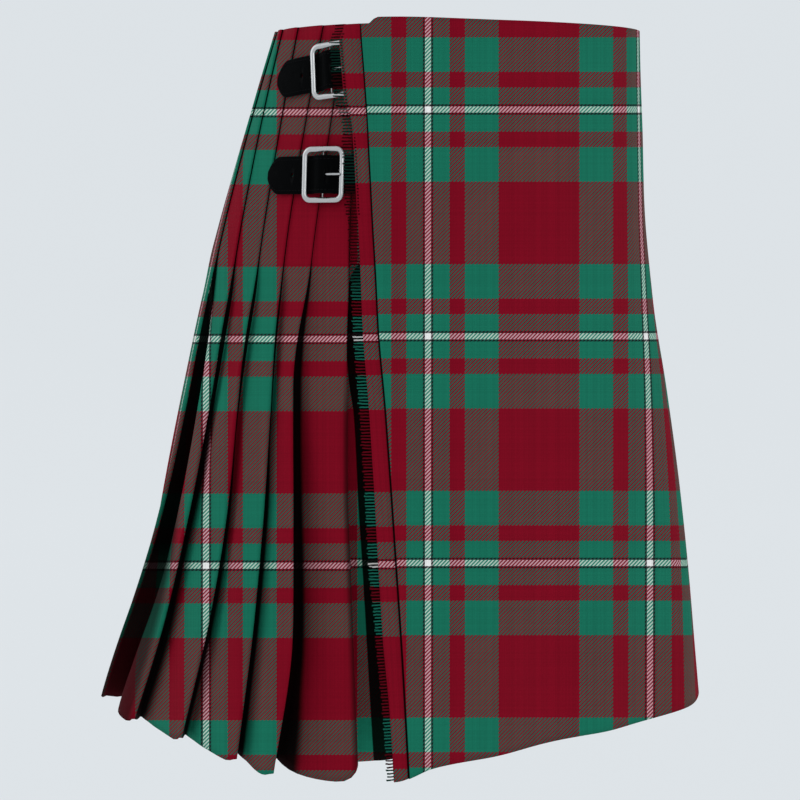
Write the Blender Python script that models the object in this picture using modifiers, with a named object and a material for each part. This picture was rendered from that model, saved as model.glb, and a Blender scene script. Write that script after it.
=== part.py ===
"""A pleated wrap kilt in its worn form, hollow, with nobody in it.

Metres, +Z up. The origin is the centre of the waist opening, the wearer faces -Y
and the wearer's left is +X. A place on the garment is given by three values:
  reach  the distance along the level section, from the centre front towards the
         wearer's right, round the back
  drop   the distance below the waist
  out    the distance outwards from the section
"""

import math

import bmesh
import bpy
import numpy as np
from mathutils import Matrix, Vector

# ---------------------------------------------------------------- sizes
LENGTH = 0.610
CLOTH = 0.0015

SQUARENESS_WAIST = 2.2
SQUARENESS_HEM = 3.0
# One row for each level: drop, half width, front and back distance from the origin.
SECTIONS = (
    ("drop", "half_width", "front", "back"),
    (0.000, 0.1650, 0.1320, 0.1320),
    (0.060, 0.1755, 0.1265, 0.1550),
    (0.120, 0.1860, 0.1215, 0.1770),
    (0.180, 0.1965, 0.1185, 0.1970),
    (0.240, 0.2075, 0.1190, 0.2125),
    (0.320, 0.2215, 0.1260, 0.2285),
    (0.420, 0.2380, 0.1320, 0.2490),
    (0.520, 0.2540, 0.1345, 0.2720),
    (0.630, 0.2720, 0.1345, 0.3000),
)
# How much lower than the length the hem hangs, by the reach at the hem.
SAG_POWER = 4
DIP_ENDS = 0.050
HEM_SAG = (
    ("reach", "sag"),
    (-0.260, 0.0025),
    (-0.130, 0.0000),
    (-0.030, -0.0025),
    (0.080, -0.0015),
    (0.125, 0.0010),
    (0.155, 0.0080),
    (0.190, 0.0075),
    (0.250, 0.0055),
    (0.291, -0.0022),
    (0.340, -0.0060),
    (0.480, -0.0040),
    (0.800, 0.0000),
)

# The reach of each fold edge that shows at the right, at six drops.
FOLD_DROPS = (0.000, 0.200, 0.300, 0.410, 0.500, 0.610)
RIGHT_FOLDS = (
    ("waist", "fell", "seat", "thigh", "knee", "hem"),
    (0.1720, 0.1765, 0.1832, 0.1885, 0.1885, 0.1868),
    (0.1860, 0.2110, 0.2315, 0.2365, 0.2400, 0.2585),
    (0.2106, 0.2390, 0.2535, 0.2665, 0.2780, 0.2943),
    (0.2450, 0.2710, 0.2940, 0.3110, 0.3320, 0.3665),
    (0.2770, 0.3080, 0.3350, 0.3690, 0.4000, 0.4450),
    (0.3070, 0.3485, 0.3815, 0.4235, 0.4690, 0.5350),
)
BACK_FOLDS = 13
BACK_SPREAD = 0.85
BACK_SEAM_FOLD = 12
FOLD_WANDER = 0.0030
FOLD_WANDER_TURN = 2.1
FOLD_WANDER_FROM = 0.150
# The pleats are sewn flat down to the fell and open below it.
FELL = 0.190
FELL_OPENED = 0.350
PLEAT_OPENING = (
    ("drop", "depth", "overlap"),
    (0.000, 0.0030, 0.0000),
    (0.190, 0.0030, 0.0000),
    (0.230, 0.0080, 0.0040),
    (0.280, 0.0130, 0.0080),
    (0.350, 0.0180, 0.0120),
    (0.430, 0.0210, 0.0150),
    (0.520, 0.0250, 0.0170),
    (0.630, 0.0290, 0.0190),
)
FACE_ROLL = 0.0022
FACE_SHARES = (0.34, 0.68)
CREST_NOSE = 0.0015
CREST_NOSE_OPEN = 0.0024
CREST_OUT = -0.0006
SIDE_FLARE = 0.0060
SIDE_FLARE_REACH = (0.400, 0.500)
SIDE_FLARE_ENDS = (0.620, 0.760)
SIDE_FLARE_DROP = (0.430, 0.610)
REVERSE_GAP = 0.0010
REVERSE_SHARE = 0.1
RETURN_SHARE = 0.25
PLEAT_DIP = 0.0030
# How far the hem turns up at a fold edge, and how far that reaches along the fold.
CREST_LIFT = 0.0040
CREST_LIFT_REACH = 0.0065
FIRST_LIFT = 0.0150
FIRST_LIFT_REACH = 0.0090
ROW_DROPS = (0.0, 0.05, 0.10, 0.15, 0.19, 0.225, 0.265, 0.32, 0.39, 0.465, 0.54, LENGTH)

# The deep fold that begins the pleats at the right, and their flat end at the left.
# How deep each fold edge's pleat opens, for the edges that show at the right.
OPENING_SHARES = (1.00, 1.12, 0.50, 0.50, 0.55, 0.85)
END_FOLD = (
    ("drop", "depth", "overlap"),
    (0.000, 0.0034, 0.0000),
    (0.190, 0.0036, 0.0000),
    (0.300, 0.0150, 0.0100),
    (0.450, 0.0280, 0.0180),
    (0.630, 0.0420, 0.0240),
)
LEFT_END = (
    ("drop", "depth", "overlap"),
    (0.000, 0.0012, 0.0150),
    (0.190, 0.0020, 0.0180),
    (0.300, 0.0050, 0.0260),
    (0.450, 0.0080, 0.0350),
    (0.630, 0.0110, 0.0420),
)

# Over apron: reach of its fringed edge and, on the other side, of its folded edge.
APRON_EDGES = (
    ("drop", "fringed", "folded"),
    (0.000, 0.1690, 0.2250),
    (0.100, 0.1595, 0.2320),
    (0.200, 0.1545, 0.2400),
    (0.400, 0.1522, 0.2580),
    (0.630, 0.1440, 0.2780),
)
APRON_OUT = 0.0025
APRON_DIP = -0.0015
APRON_DIP_REACH = (0.050, 0.150)
APRON_CORNER_DIP = 0.0050
APRON_CORNER = (0.0070, 0.0130)
APRON_COLUMNS = 19
# How far the apron rides up over the straps at its two edges, and where.
STRAP_LIFT = 0.0036
STRAP_LIFT_REACH = (0.090, 0.135)
STRAP_LIFT_DROP = (0.160, 0.250)
LEFT_LIFT = 0.0034
LEFT_LIFT_REACH = (0.150, 0.200)
LEFT_LIFT_DROP = (0.080, 0.150)

# Fringe: a woven strip under the apron's edge with loose threads beyond it.
STRIP_EDGE = (
    ("drop", "reach"),
    (0.000, 0.1782),
    (0.110, 0.1692),
    (0.200, 0.1666),
    (0.400, 0.1664),
    (0.490, 0.1648),
    (0.550, 0.1605),
    (0.630, 0.1565),
)
STRIP_OUT = 0.0007
STRIP_THICK = 0.0010
STRIP_HIDDEN = 0.0060
STRIP_DIP = 0.0037
STRIP_RISE_REACH = (0.025, 0.040)
STRANDS = 240
STRANDS_A_BLOCK = 8
STRAND_LENGTH = 0.0080
STRAND_UNEVEN = 0.08
STRAND_UNEVEN_TURN = 2.4
STRAND_SHARE = 0.5
STRAND_TAPER = 0.6

# Under apron: how far out it lies behind the pleats and across the front.
UNDER_APRON = (
    ("drop", "right_edge", "by_pleats", "middle"),
    (0.000, 0.2100, -0.0066, -0.0008),
    (0.190, 0.2130, -0.0070, -0.0008),
    (0.230, 0.2150, -0.0150, -0.0030),
    (0.280, 0.2160, -0.0220, -0.0060),
    (0.350, 0.2170, -0.0290, -0.0100),
    (0.430, 0.2180, -0.0350, -0.0150),
    (0.520, 0.2200, -0.0420, -0.0200),
    (0.630, 0.2200, -0.0500, -0.0250),
)
UNDER_APRON_LEFT = -0.200
UNDER_APRON_DEEP = (0.115, 0.160)
UNDER_APRON_COLUMNS = 17
UNDER_APRON_SHORTER = 0.004
UNDER_APRON_DIP = 0.0045
UNDER_APRON_DIP_REACH = (0.090, 0.140)

# Straps and buckles, in a buckle's own frame: x towards the apron's edge, y up and
# z outwards, with its origin on the fold edges under the centre bar.
STRAP_WIDTH = 0.0310
STRAP_THICK = 0.0018
STRAP_REST = 0.0018
STRAP_RISE = 0.0070
HUMP_REACH = 0.0135
STRAP_STATIONS = (
    -0.0200, -0.0135, -0.0100, -0.0066, -0.0033, 0.0,
    0.0033, 0.0066, 0.0100, 0.0135, 0.0260,
)
STRAP_ACROSS = (1.0, 0.34, -0.34, -1.0)
STRAP_TIP_STEPS = (0.0, 0.0012, 0.0040, 0.0085, 0.0145, 0.0260)
STRAP_TIP_ROUND = 0.0145
STRAP_TIP_FLAT = 0.22
STRAP_TIP_POWER = 0.8
HOLE_RADIUS = 0.0020
HOLE_SIDES = 8
HOLE_BORE = (-0.001, 0.008)
BUCKLE_WIDTH = 0.0340
BUCKLE_HEIGHT = 0.0414
BUCKLE_CORNER = 0.0056
CORNER_STEPS = 3
BAR_RADIUS = 0.0023
BAR_FLATNESS = 0.65
BAR_AXIS = 0.0048
CENTRE_BAR_RADIUS = 0.0009
PRONG_RADIUS = 0.0011
PRONG_RING = 0.0026
PRONG_STEPS = 7
PRONG_START = -10.0
PRONG_TURN = -260.0
PRONG_REST = 0.0172
PRONG_HEIGHT = 0.0076
PRONG_HOLE = (0.0006, 0.0128)
PRONG_BORE = 0.0018
CHAPE_WIDTH = 0.026
CHAPE_THICK = 0.0012
CHAPE_REST = 0.0003
CHAPE_RING = 0.0028
CHAPE_LENGTH = 0.020
CHAPE_SLOT = 0.0036
CHAPE_BEND = (-0.0052, 0.0005)
CHAPE_CURL = (-115.0, -75.0, -30.0, 15.0, 60.0, 105.0, 150.0)
# Where each strap and buckle sits, and how far the fringe rises there to lie over it.
FASTENINGS = (
    (
        "name", "reach", "drop", "tilt", "tip", "hidden", "holes", "side",
        "strip_rise", "strand_rise",
    ),
    ("upper", 0.1938, 0.0405, 6.0, 0.0655, 0.0400, (0.0215, 0.0320), 1, 0.0088, 0.0094),
    ("lower", 0.1970, 0.1246, 1.0, 0.0615, 0.0400, (0.0210, 0.0315), 1, 0.0040, 0.0074),
    ("left", 0.2640, 0.0450, 0.0, 0.0560, 0.0500, (0.0215, 0.0320), -1, 0.0, 0.0),
)

COLOURS = {
    "tartan_wool": ((0.28, 0.03, 0.05), 0.85, 0.0),
    "black_leather": ((0.012, 0.012, 0.013), 0.45, 0.0),
    "nickel": ((0.78, 0.78, 0.77), 0.28, 1.0),
}

ARC_SAMPLES = 1440
NEAR = 0.002
WELD = 1e-6


# ---------------------------------------------------------------- tables and sections
def column(table, name):
    """One named column of a table, without its heading."""
    index = table[0].index(name)
    return np.array([row[index] for row in table[1:]])


def flow(known, values, at):
    """A smooth curve through a table's values that never overshoots them."""
    rises = np.diff(values) / np.diff(known)
    before, after = rises[:-1], rises[1:]
    same_way = before * after > 0
    joined = np.where(same_way, before + after, 1.0)
    slopes = np.concatenate(
        [rises[:1], np.where(same_way, 2 * before * after / joined, 0.0), rises[-1:]]
    )
    at = np.clip(at, known[0], known[-1])
    i = np.clip(np.searchsorted(known, at) - 1, 0, len(known) - 2)
    span = known[i + 1] - known[i]
    t = (at - known[i]) / span
    start = (2 * t**3 - 3 * t**2 + 1) * values[i] + (t**3 - 2 * t**2 + t) * span * slopes[i]
    end = (3 * t**2 - 2 * t**3) * values[i + 1] + (t**3 - t**2) * span * slopes[i + 1]
    return start + end


def read(table, name, at):
    """A named column read at a place of the table's first column."""
    return float(flow(column(table, table[0][0]), column(table, name), at))


def ease(value, start, end):
    """0 before start, 1 after end, and smooth between them."""
    t = min(max((value - start) / (end - start), 0.0), 1.0)
    return t * t * (3 - 2 * t)


def rounded_power(values, squareness):
    """The cosine or sine of a superellipse."""
    return np.sign(values) * np.abs(values) ** (2.0 / squareness)


section_store = {}


def section(drop):
    """Points round the level section at a drop, with the reach of each."""
    key = round(drop, 7)
    if key not in section_store:
        half = read(SECTIONS, "half_width", drop)
        front = read(SECTIONS, "front", drop)
        back = read(SECTIONS, "back", drop)
        share = drop / LENGTH
        squareness = SQUARENESS_WAIST + (SQUARENESS_HEM - SQUARENESS_WAIST) * share
        turn = np.linspace(0.0, 2 * math.pi, ARC_SAMPLES + 1)
        x = -half * rounded_power(np.sin(turn), squareness)
        y = (back - front) / 2 - (back + front) / 2 * rounded_power(np.cos(turn), squareness)
        steps = np.hypot(np.diff(x), np.diff(y))
        section_store[key] = (x, y, np.concatenate([[0.0], np.cumsum(steps)]))
    return section_store[key]


def girth(drop):
    return section(drop)[2][-1]


def on_section(reach, drop):
    x, y, along = section(drop)
    reach = reach % along[-1]
    return np.array([np.interp(reach, along, x), np.interp(reach, along, y)])


def place(reach, drop, out):
    """The point at a reach and a drop, moved outwards."""
    step = on_section(reach + NEAR, drop) - on_section(reach - NEAR, drop)
    outwards = np.array([-step[1], step[0]]) / np.hypot(*step)
    here = on_section(reach, drop) + outwards * out
    return np.array([here[0], here[1], -drop])


# ---------------------------------------------------------------- meshes and objects
def sheet(name, rows, thickness, collection, finish, slot=()):
    """A sheet through rows of points, its right side as given, with its wall behind it.

    Rows run downwards and their points towards the wearer's right, so the right
    side faces out. Slot lists faces (row, column) that are left out.
    """
    wide = len(rows[0])
    work = bmesh.new()
    bmesh.ops.create_grid(work, x_segments=wide - 1, y_segments=len(rows) - 1, size=0.5)
    work.verts.ensure_lookup_table()
    for index, point in enumerate(point for row in rows for point in row):
        work.verts[index].co = point
    work.faces.ensure_lookup_table()
    dropped = [work.faces[row * (wide - 1) + col] for row, col in slot]
    bmesh.ops.delete(work, geom=dropped, context="FACES")
    return walled(name, work, thickness, collection, finish)


def walled(name, work, thickness, collection, finish):
    """An object from a bmesh surface, given its wall by Solidify."""
    mesh = bpy.data.meshes.new(name)
    work.to_mesh(mesh)
    work.free()
    mesh.materials.append(finish)
    obj = bpy.data.objects.new(name, mesh)
    collection.objects.link(obj)
    wall = obj.modifiers.new("wall", "SOLIDIFY")
    wall.thickness = thickness
    wall.offset = -1.0
    wall.use_even_offset = True
    wall.use_quality_normals = True
    return obj


def cut(obj, cutter, operation="DIFFERENCE"):
    step = obj.modifiers.new(operation.lower(), "BOOLEAN")
    step.operation = operation
    step.solver = "EXACT"
    step.object = cutter


def cylinder(name, start, end, radius, sides, collection):
    """A closed cylinder between two points."""
    axis = Vector(end) - Vector(start)
    work = bmesh.new()
    bmesh.ops.create_cone(
        work, cap_ends=True, segments=sides, radius1=radius, radius2=radius, depth=axis.length
    )
    turn = axis.to_track_quat("Z", "Y").to_matrix().to_4x4()
    turn.translation = (Vector(start) + Vector(end)) / 2
    bmesh.ops.transform(work, matrix=turn, verts=work.verts)
    mesh = bpy.data.meshes.new(name)
    work.to_mesh(mesh)
    work.free()
    obj = bpy.data.objects.new(name, mesh)
    collection.objects.link(obj)
    return obj


def rod(name, points, radius, closed, finish):
    """A round wire along a path, as a mesh object that isn't linked yet."""
    curve = bpy.data.curves.new(name + "_path", "CURVE")
    curve.dimensions = "3D"
    curve.bevel_depth = radius
    curve.bevel_resolution = 1
    curve.use_fill_caps = True
    spline = curve.splines.new("POLY")
    spline.points.add(len(points) - 1)
    for knot, point in zip(spline.points, points):
        knot.co = (*point, 1.0)
    spline.use_cyclic_u = closed
    path = bpy.data.objects.new(name + "_path", curve)
    bpy.context.scene.collection.objects.link(path)
    mesh = bpy.data.meshes.new_from_object(path.evaluated_get(bpy.context.evaluated_depsgraph_get()))
    bpy.data.objects.remove(path)
    work = bmesh.new()
    work.from_mesh(mesh)
    bmesh.ops.remove_doubles(work, verts=work.verts, dist=WELD)
    bmesh.ops.recalc_face_normals(work, faces=work.faces)
    work.to_mesh(mesh)
    work.free()
    mesh.materials.clear()
    mesh.materials.append(finish)
    return bpy.data.objects.new(name, mesh)


def wrong_side(points, thickness):
    """A path moved level to its wrong side by a thickness, with mitred corners."""
    plan = np.array(points)[:, :2]
    steps = np.diff(plan, axis=0)
    steps /= np.linalg.norm(steps, axis=1)[:, None]
    normals = np.column_stack([-steps[:, 1], steps[:, 0]])
    before = np.vstack([normals[:1], normals])
    after = np.vstack([normals, normals[-1:]])
    share = 1 + np.sum(before * after, axis=1)
    moved = plan - thickness * (before + after) / share[:, None]
    return [np.array([x, y, point[2]]) for (x, y), point in zip(moved, points)]


def loft(name, rings, collection, finish):
    """A closed solid through rings that each run out along one side and back along the other."""
    work = bmesh.new()
    made = [[work.verts.new(point) for point in ring] for ring in rings]
    count = len(rings[0])
    for upper, lower in zip(made, made[1:]):
        for i in range(count):
            j = (i + 1) % count
            work.faces.new((upper[i], upper[j], lower[j], lower[i]))
    for ring in (made[0], made[-1]):
        for i in range(count // 2 - 1):
            work.faces.new((ring[i], ring[i + 1], ring[count - 2 - i], ring[count - 1 - i]))
    bmesh.ops.recalc_face_normals(work, faces=work.faces)
    mesh = bpy.data.meshes.new(name)
    work.to_mesh(mesh)
    work.free()
    mesh.materials.append(finish)
    collection.objects.link(bpy.data.objects.new(name, mesh))


# ---------------------------------------------------------------- pleats
def fold_reaches(drop):
    """The reach of every fold edge at a drop, with the over apron's own edge last."""
    seen = []
    for row in RIGHT_FOLDS[1:]:
        seen.append(float(flow(np.array(FOLD_DROPS), np.array(row), drop)))
    last = girth(drop) - read(APRON_EDGES, "folded", drop)
    wander = FOLD_WANDER * ease(drop, FOLD_WANDER_FROM, LENGTH)
    hidden = []
    for i in range(1, BACK_FOLDS):
        along = (last - seen[-1]) * (i / BACK_FOLDS) ** BACK_SPREAD
        hidden.append(seen[-1] + along + wander * math.sin(FOLD_WANDER_TURN * i))
    return seen + hidden + [last]


def crest_nose(drop):
    """How far a fold edge is rounded off."""
    return CREST_NOSE + (CREST_NOSE_OPEN - CREST_NOSE) * ease(drop, FELL, FELL_OPENED)


def opening_depth(drop, fold):
    """How deep the cloth lies beside a fold edge."""
    share = OPENING_SHARES[fold] if fold < len(OPENING_SHARES) else 1.0
    return read(PLEAT_OPENING, "depth", drop) * (1 + (share - 1) * ease(drop, FELL, FELL_OPENED))


def hidden_turn(drop, folds, fold):
    """The two points where the cloth turns back behind a fold edge."""
    depth = opening_depth(drop, fold)
    overlap = read(PLEAT_OPENING, "overlap", drop)
    width = folds[fold] - folds[fold - 1]
    tip = (folds[fold] + overlap, -depth * (1 + overlap / width))
    return tip, (tip[0], tip[1] + min(REVERSE_GAP, depth * REVERSE_SHARE))


def way_out(start, crest):
    """The hidden return from where the cloth turns back out to a fold edge."""
    return [start, tuple(a + (b - a) * RETURN_SHARE for a, b in zip(start, crest))]


def pleat_run(drop, first, last):
    """The plan of the pleats between two fold edges, as reach, out and the point's fold."""
    folds = fold_reaches(drop)
    nose = crest_nose(drop)
    roll = FACE_ROLL * ease(drop, FELL, FELL_OPENED)
    if first == 0:
        start = (folds[0] + read(END_FOLD, "overlap", drop), -read(END_FOLD, "depth", drop))
    else:
        start = hidden_turn(drop, folds, first)[1]
    run = [(*point, first) for point in way_out(start, (folds[first], -nose))]
    for fold in range(first, last):
        here, after = folds[fold], folds[fold + 1]
        under_apron = fold + 1 == len(folds) - 1
        depth = read(LEFT_END, "depth", drop) if under_apron else opening_depth(drop, fold + 1)
        face = [(here, -nose), (here + nose, 0.0)]
        for share in FACE_SHARES:
            bulge = roll * math.sin(math.pi * share)
            face.append((here + (after - here) * share, bulge - depth * share))
        if under_apron:
            face += [(after, -depth), (after + read(LEFT_END, "overlap", drop), -depth)]
        else:
            tip, rise = hidden_turn(drop, folds, fold + 1)
            face.append(tip)
        run += [(*point, fold) for point in face]
        if fold + 1 < last:
            run += [(*point, fold + 1) for point in way_out(rise, (after, -nose))]
    return run


def settled(row_drop, reach, dip):
    """The true drop of a point of a row: the top edge dips and the hem sags."""
    sag = (row_drop / LENGTH) ** SAG_POWER * read(HEM_SAG, "sag", reach)
    return row_drop + sag + dip * (1 - ease(row_drop, 0.0, DIP_ENDS))


def crest_lift(row_drop, past, fold):
    """How far a point of a row is turned up, by how far past its fold edge it lies."""
    height, reach = (CREST_LIFT, CREST_LIFT_REACH) if fold else (FIRST_LIFT, FIRST_LIFT_REACH)
    return height * (row_drop / LENGTH) ** SAG_POWER * math.exp(-((past / reach) ** 2))


def side_flare(reach, drop):
    """How far the pleats of the right side swing out towards the hem."""
    across = ease(reach, *SIDE_FLARE_REACH) * (1 - ease(reach, *SIDE_FLARE_ENDS))
    return SIDE_FLARE * across * ease(drop, *SIDE_FLARE_DROP)


def make_pleats(collection, finish):
    total = len(RIGHT_FOLDS) - 1 + BACK_FOLDS - 1
    for name, first, last in (
        ("pleats_right", 0, BACK_SEAM_FOLD),
        ("pleats_left", BACK_SEAM_FOLD, total),
    ):
        rings = []
        for drop in ROW_DROPS:
            folds = fold_reaches(drop)
            right_side = []
            for reach, out, fold in pleat_run(drop, first, last):
                lift = crest_lift(drop, reach - folds[fold], fold)
                lower = settled(drop, reach, PLEAT_DIP) - lift
                flare = side_flare(reach, drop)
                right_side.append(place(reach, lower, CREST_OUT + flare + out))
            rings.append(right_side + wrong_side(right_side, CLOTH)[::-1])
        loft(name, rings, collection, finish)


# ---------------------------------------------------------------- aprons and fringe
def strap_lift(reach, drop):
    """How far the apron and its strip ride up over the straps at the right hip."""
    return STRAP_LIFT * ease(reach, *STRAP_LIFT_REACH) * (1 - ease(drop, *STRAP_LIFT_DROP))


def left_lift(reach, drop):
    """How far the apron's folded edge rides up over the strap at the left hip."""
    return LEFT_LIFT * ease(-reach, *LEFT_LIFT_REACH) * (1 - ease(drop, *LEFT_LIFT_DROP))


def make_over_apron(collection, finish):
    rows = []
    for drop in ROW_DROPS:
        start, end = -read(APRON_EDGES, "folded", drop), read(APRON_EDGES, "fringed", drop)
        row = []
        reaches = np.append(np.linspace(start, end - STRIP_HIDDEN, APRON_COLUMNS), end)
        for reach in reaches:
            out = APRON_OUT + strap_lift(reach, drop) + left_lift(reach, drop)
            corner = 1 - ease(end - reach, *APRON_CORNER)
            dip = APRON_DIP * ease(reach, *APRON_DIP_REACH) + APRON_CORNER_DIP * corner
            row.append(place(reach, settled(drop, reach, dip), out))
        rows.append(row)
    sheet("over_apron", rows, CLOTH, collection, finish)


def make_under_apron(collection, finish):
    rows = []
    for drop in ROW_DROPS:
        row = []
        right = read(UNDER_APRON, "right_edge", drop)
        for reach in np.linspace(UNDER_APRON_LEFT, right, UNDER_APRON_COLUMNS):
            inwards = ease(reach, *UNDER_APRON_DEEP)
            middle = read(UNDER_APRON, "middle", drop)
            out = middle + (read(UNDER_APRON, "by_pleats", drop) - middle) * inwards
            dip = UNDER_APRON_DIP * ease(reach, *UNDER_APRON_DIP_REACH)
            shorter = UNDER_APRON_SHORTER * (drop / LENGTH) ** SAG_POWER
            row.append(place(reach, settled(drop, reach, dip) - shorter, out))
        rows.append(row)
    sheet("under_apron", rows, CLOTH, collection, finish)


def fringe_rise(drop, name):
    """How far the strip's edge or a strand's end rises to lie over the buckles."""
    drops, heights = column(FASTENINGS, "drop"), column(FASTENINGS, name)
    offs = np.abs(drop - drops)
    return max(height * (1 - ease(off, *STRIP_RISE_REACH)) for height, off in zip(heights, offs))


def fringe_point(drop, edge, past, rise):
    """A point past one of the strip's edges, straight between the apron's rows."""
    below = int(np.clip(np.searchsorted(ROW_DROPS, drop), 1, len(ROW_DROPS) - 1))
    ends = []
    for row in (ROW_DROPS[below - 1], ROW_DROPS[below]):
        table = APRON_EDGES if edge == "fringed" else STRIP_EDGE
        reach = read(table, edge, row) + past
        out = STRIP_OUT + strap_lift(reach, row) + rise
        ends.append(place(reach, settled(row, reach, STRIP_DIP), out))
    share = (drop - ROW_DROPS[below - 1]) / (ROW_DROPS[below] - ROW_DROPS[below - 1])
    return ends[0] + (ends[1] - ends[0]) * share


def make_fringe(collection, finish):
    """A strip in coarse blocks with one strand for each tooth of its outer edge."""
    pitch = LENGTH / STRANDS
    work = bmesh.new()

    def corner(drop, edge, past=0.0, rise=0.0):
        return work.verts.new(fringe_point(drop, edge, past, rise))

    upper = corner(0.0, "fringed", -STRIP_HIDDEN), corner(0.0, "fringed")
    root = corner(0.0, "reach")
    for block in range(STRANDS // STRANDS_A_BLOCK):
        roots = [root]
        for number in range(block * STRANDS_A_BLOCK, (block + 1) * STRANDS_A_BLOCK):
            for share in (STRAND_SHARE, 1.0):
                drop = pitch * (number + share)
                roots.append(corner(drop, "reach", 0.0, fringe_rise(drop, "strip_rise")))
            centre = pitch * (number + STRAND_SHARE / 2)
            past = STRAND_LENGTH * (1 + STRAND_UNEVEN * math.sin(number * STRAND_UNEVEN_TURN))
            half = pitch * STRAND_SHARE * STRAND_TAPER / 2
            rise = fringe_rise(centre, "strand_rise")
            above = corner(centre - half, "reach", past, rise)
            below = corner(centre + half, "reach", past, rise)
            work.faces.new((roots[-3], above, below, roots[-2]))
        drop = pitch * STRANDS_A_BLOCK * (block + 1)
        lower = corner(drop, "fringed", -STRIP_HIDDEN), corner(drop, "fringed")
        work.faces.new((upper[0], upper[1], lower[1], lower[0]))
        work.faces.new([lower[1], upper[1]] + roots)
        upper, root = lower, roots[-1]
    walled("apron_fringe", work, STRIP_THICK, collection, finish)


# ---------------------------------------------------------------- straps and buckles
class Fastening:
    """A strap and its buckle at one place on the hip."""

    def __init__(self, row):
        for key, value in zip(FASTENINGS[0], row):
            setattr(self, key, value)
        self.turn = math.radians(self.tilt)
        self.shear = self.lean = 0.0
        across, up = self.directions()
        self.shear = up.dot(across) / (2 * NEAR)
        outwards = self.flat().col[2]
        self.lean = outwards.z / math.hypot(outwards.x, outwards.y)

    def wrap(self, x, y, height):
        """A point over the pleats that follows the hip's curve."""
        y += self.lean * height
        x -= self.shear * y
        along = x * math.cos(self.turn) - y * math.sin(self.turn)
        up = x * math.sin(self.turn) + y * math.cos(self.turn)
        return place(self.side * (self.reach - along), self.drop - up, CREST_OUT + height)

    def directions(self):
        """Which way x and y run on the hip, the second still at its own length."""
        across = Vector(self.wrap(NEAR, 0, 0) - self.wrap(-NEAR, 0, 0)).normalized()
        return across, Vector(self.wrap(0, NEAR, 0) - self.wrap(0, -NEAR, 0))

    def flat(self):
        """The matrix that stands a flat piece on the hip."""
        origin = Vector(self.wrap(0, 0, 0))
        across, up = self.directions()
        up = (up - across * up.dot(across)).normalized()
        outwards = across.cross(up) * self.side
        matrix = Matrix((across, up, outwards)).transposed().to_4x4()
        matrix.translation = origin
        return matrix


def make_strap(fastening, collection, cutters, finish):
    """A leather strap that rises over the centre bar, with a rounded end and holes."""
    stations = (
        -fastening.tip + np.array(STRAP_TIP_STEPS)
    ).tolist() + list(STRAP_STATIONS) + [fastening.hidden]
    rows = []
    for y_share in STRAP_ACROSS:
        row = []
        for x in stations:
            rounded = min(1.0, (x + fastening.tip) / STRAP_TIP_ROUND)
            swell = math.sin(math.pi / 2 * rounded) ** STRAP_TIP_POWER
            half = STRAP_WIDTH / 2 * (STRAP_TIP_FLAT + (1 - STRAP_TIP_FLAT) * swell)
            rise = STRAP_RISE * math.cos(math.pi / 2 * min(1.0, abs(x) / HUMP_REACH)) ** 2
            row.append(fastening.wrap(x, half * y_share, STRAP_REST + STRAP_THICK + rise))
        rows.append(row[::-1] if fastening.side > 0 else row)
    name = "strap_" + fastening.name
    strap = sheet(name, rows, STRAP_THICK, collection, finish)
    for number, x in enumerate(fastening.holes):
        start, end = (fastening.wrap(-x, 0, height) for height in HOLE_BORE)
        label = f"{name}_hole_{number}"
        cut(strap, cylinder(label, start, end, HOLE_RADIUS, HOLE_SIDES, cutters))
    matrix = fastening.flat()
    start = matrix @ Vector((PRONG_HOLE[0], 0, PRONG_HEIGHT))
    end = matrix @ Vector((PRONG_HOLE[1], 0, PRONG_HEIGHT))
    cut(strap, cylinder(name + "_prong_hole", start, end, PRONG_BORE, HOLE_SIDES, cutters))


def make_buckle(fastening, collection, cutters, finish):
    """A rounded rectangular frame with its centre bar fused in."""
    half_x, half_y = BUCKLE_WIDTH / 2, BUCKLE_HEIGHT / 2
    path = []
    for quarter in range(4):
        x_sign = 1 if quarter in (0, 3) else -1
        y_sign = 1 if quarter in (0, 1) else -1
        for i in range(CORNER_STEPS + 1):
            angle = math.pi / 2 * (quarter + i / CORNER_STEPS)
            x = x_sign * (half_x - BUCKLE_CORNER) + BUCKLE_CORNER * math.cos(angle)
            y = y_sign * (half_y - BUCKLE_CORNER) + BUCKLE_CORNER * math.sin(angle)
            path.append((x, y, 0.0))
    frame = rod("buckle_" + fastening.name, path, BAR_RADIUS, True, finish)
    squash = Matrix.Diagonal((1, 1, BAR_FLATNESS, 1))
    matrix = fastening.flat() @ Matrix.Translation((0, 0, BAR_AXIS))
    frame.data.transform(matrix @ squash)
    if fastening.side < 0:
        frame.data.flip_normals()
    collection.objects.link(frame)
    ends = [matrix @ Vector((0, y, 0)) for y in (-half_y, half_y)]
    bar = cylinder(frame.name + "_bar", *ends, CENTRE_BAR_RADIUS, HOLE_SIDES, cutters)
    cut(frame, bar, "UNION")


def make_prong(fastening, collection, finish):
    """A wire hooked round the centre bar that rests on the bar by the apron."""
    path = []
    for i in range(PRONG_STEPS + 1):
        angle = math.radians(PRONG_START + PRONG_TURN * i / PRONG_STEPS)
        path.append(
            (PRONG_RING * math.cos(angle), 0.0, BAR_AXIS + PRONG_RING * math.sin(angle))
        )
    path.append((PRONG_REST, 0.0, PRONG_HEIGHT))
    prong = rod("prong_" + fastening.name, path, PRONG_RADIUS, False, finish)
    prong.data.transform(fastening.flat())
    if fastening.side < 0:
        prong.data.flip_normals()
    collection.objects.link(prong)


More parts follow.
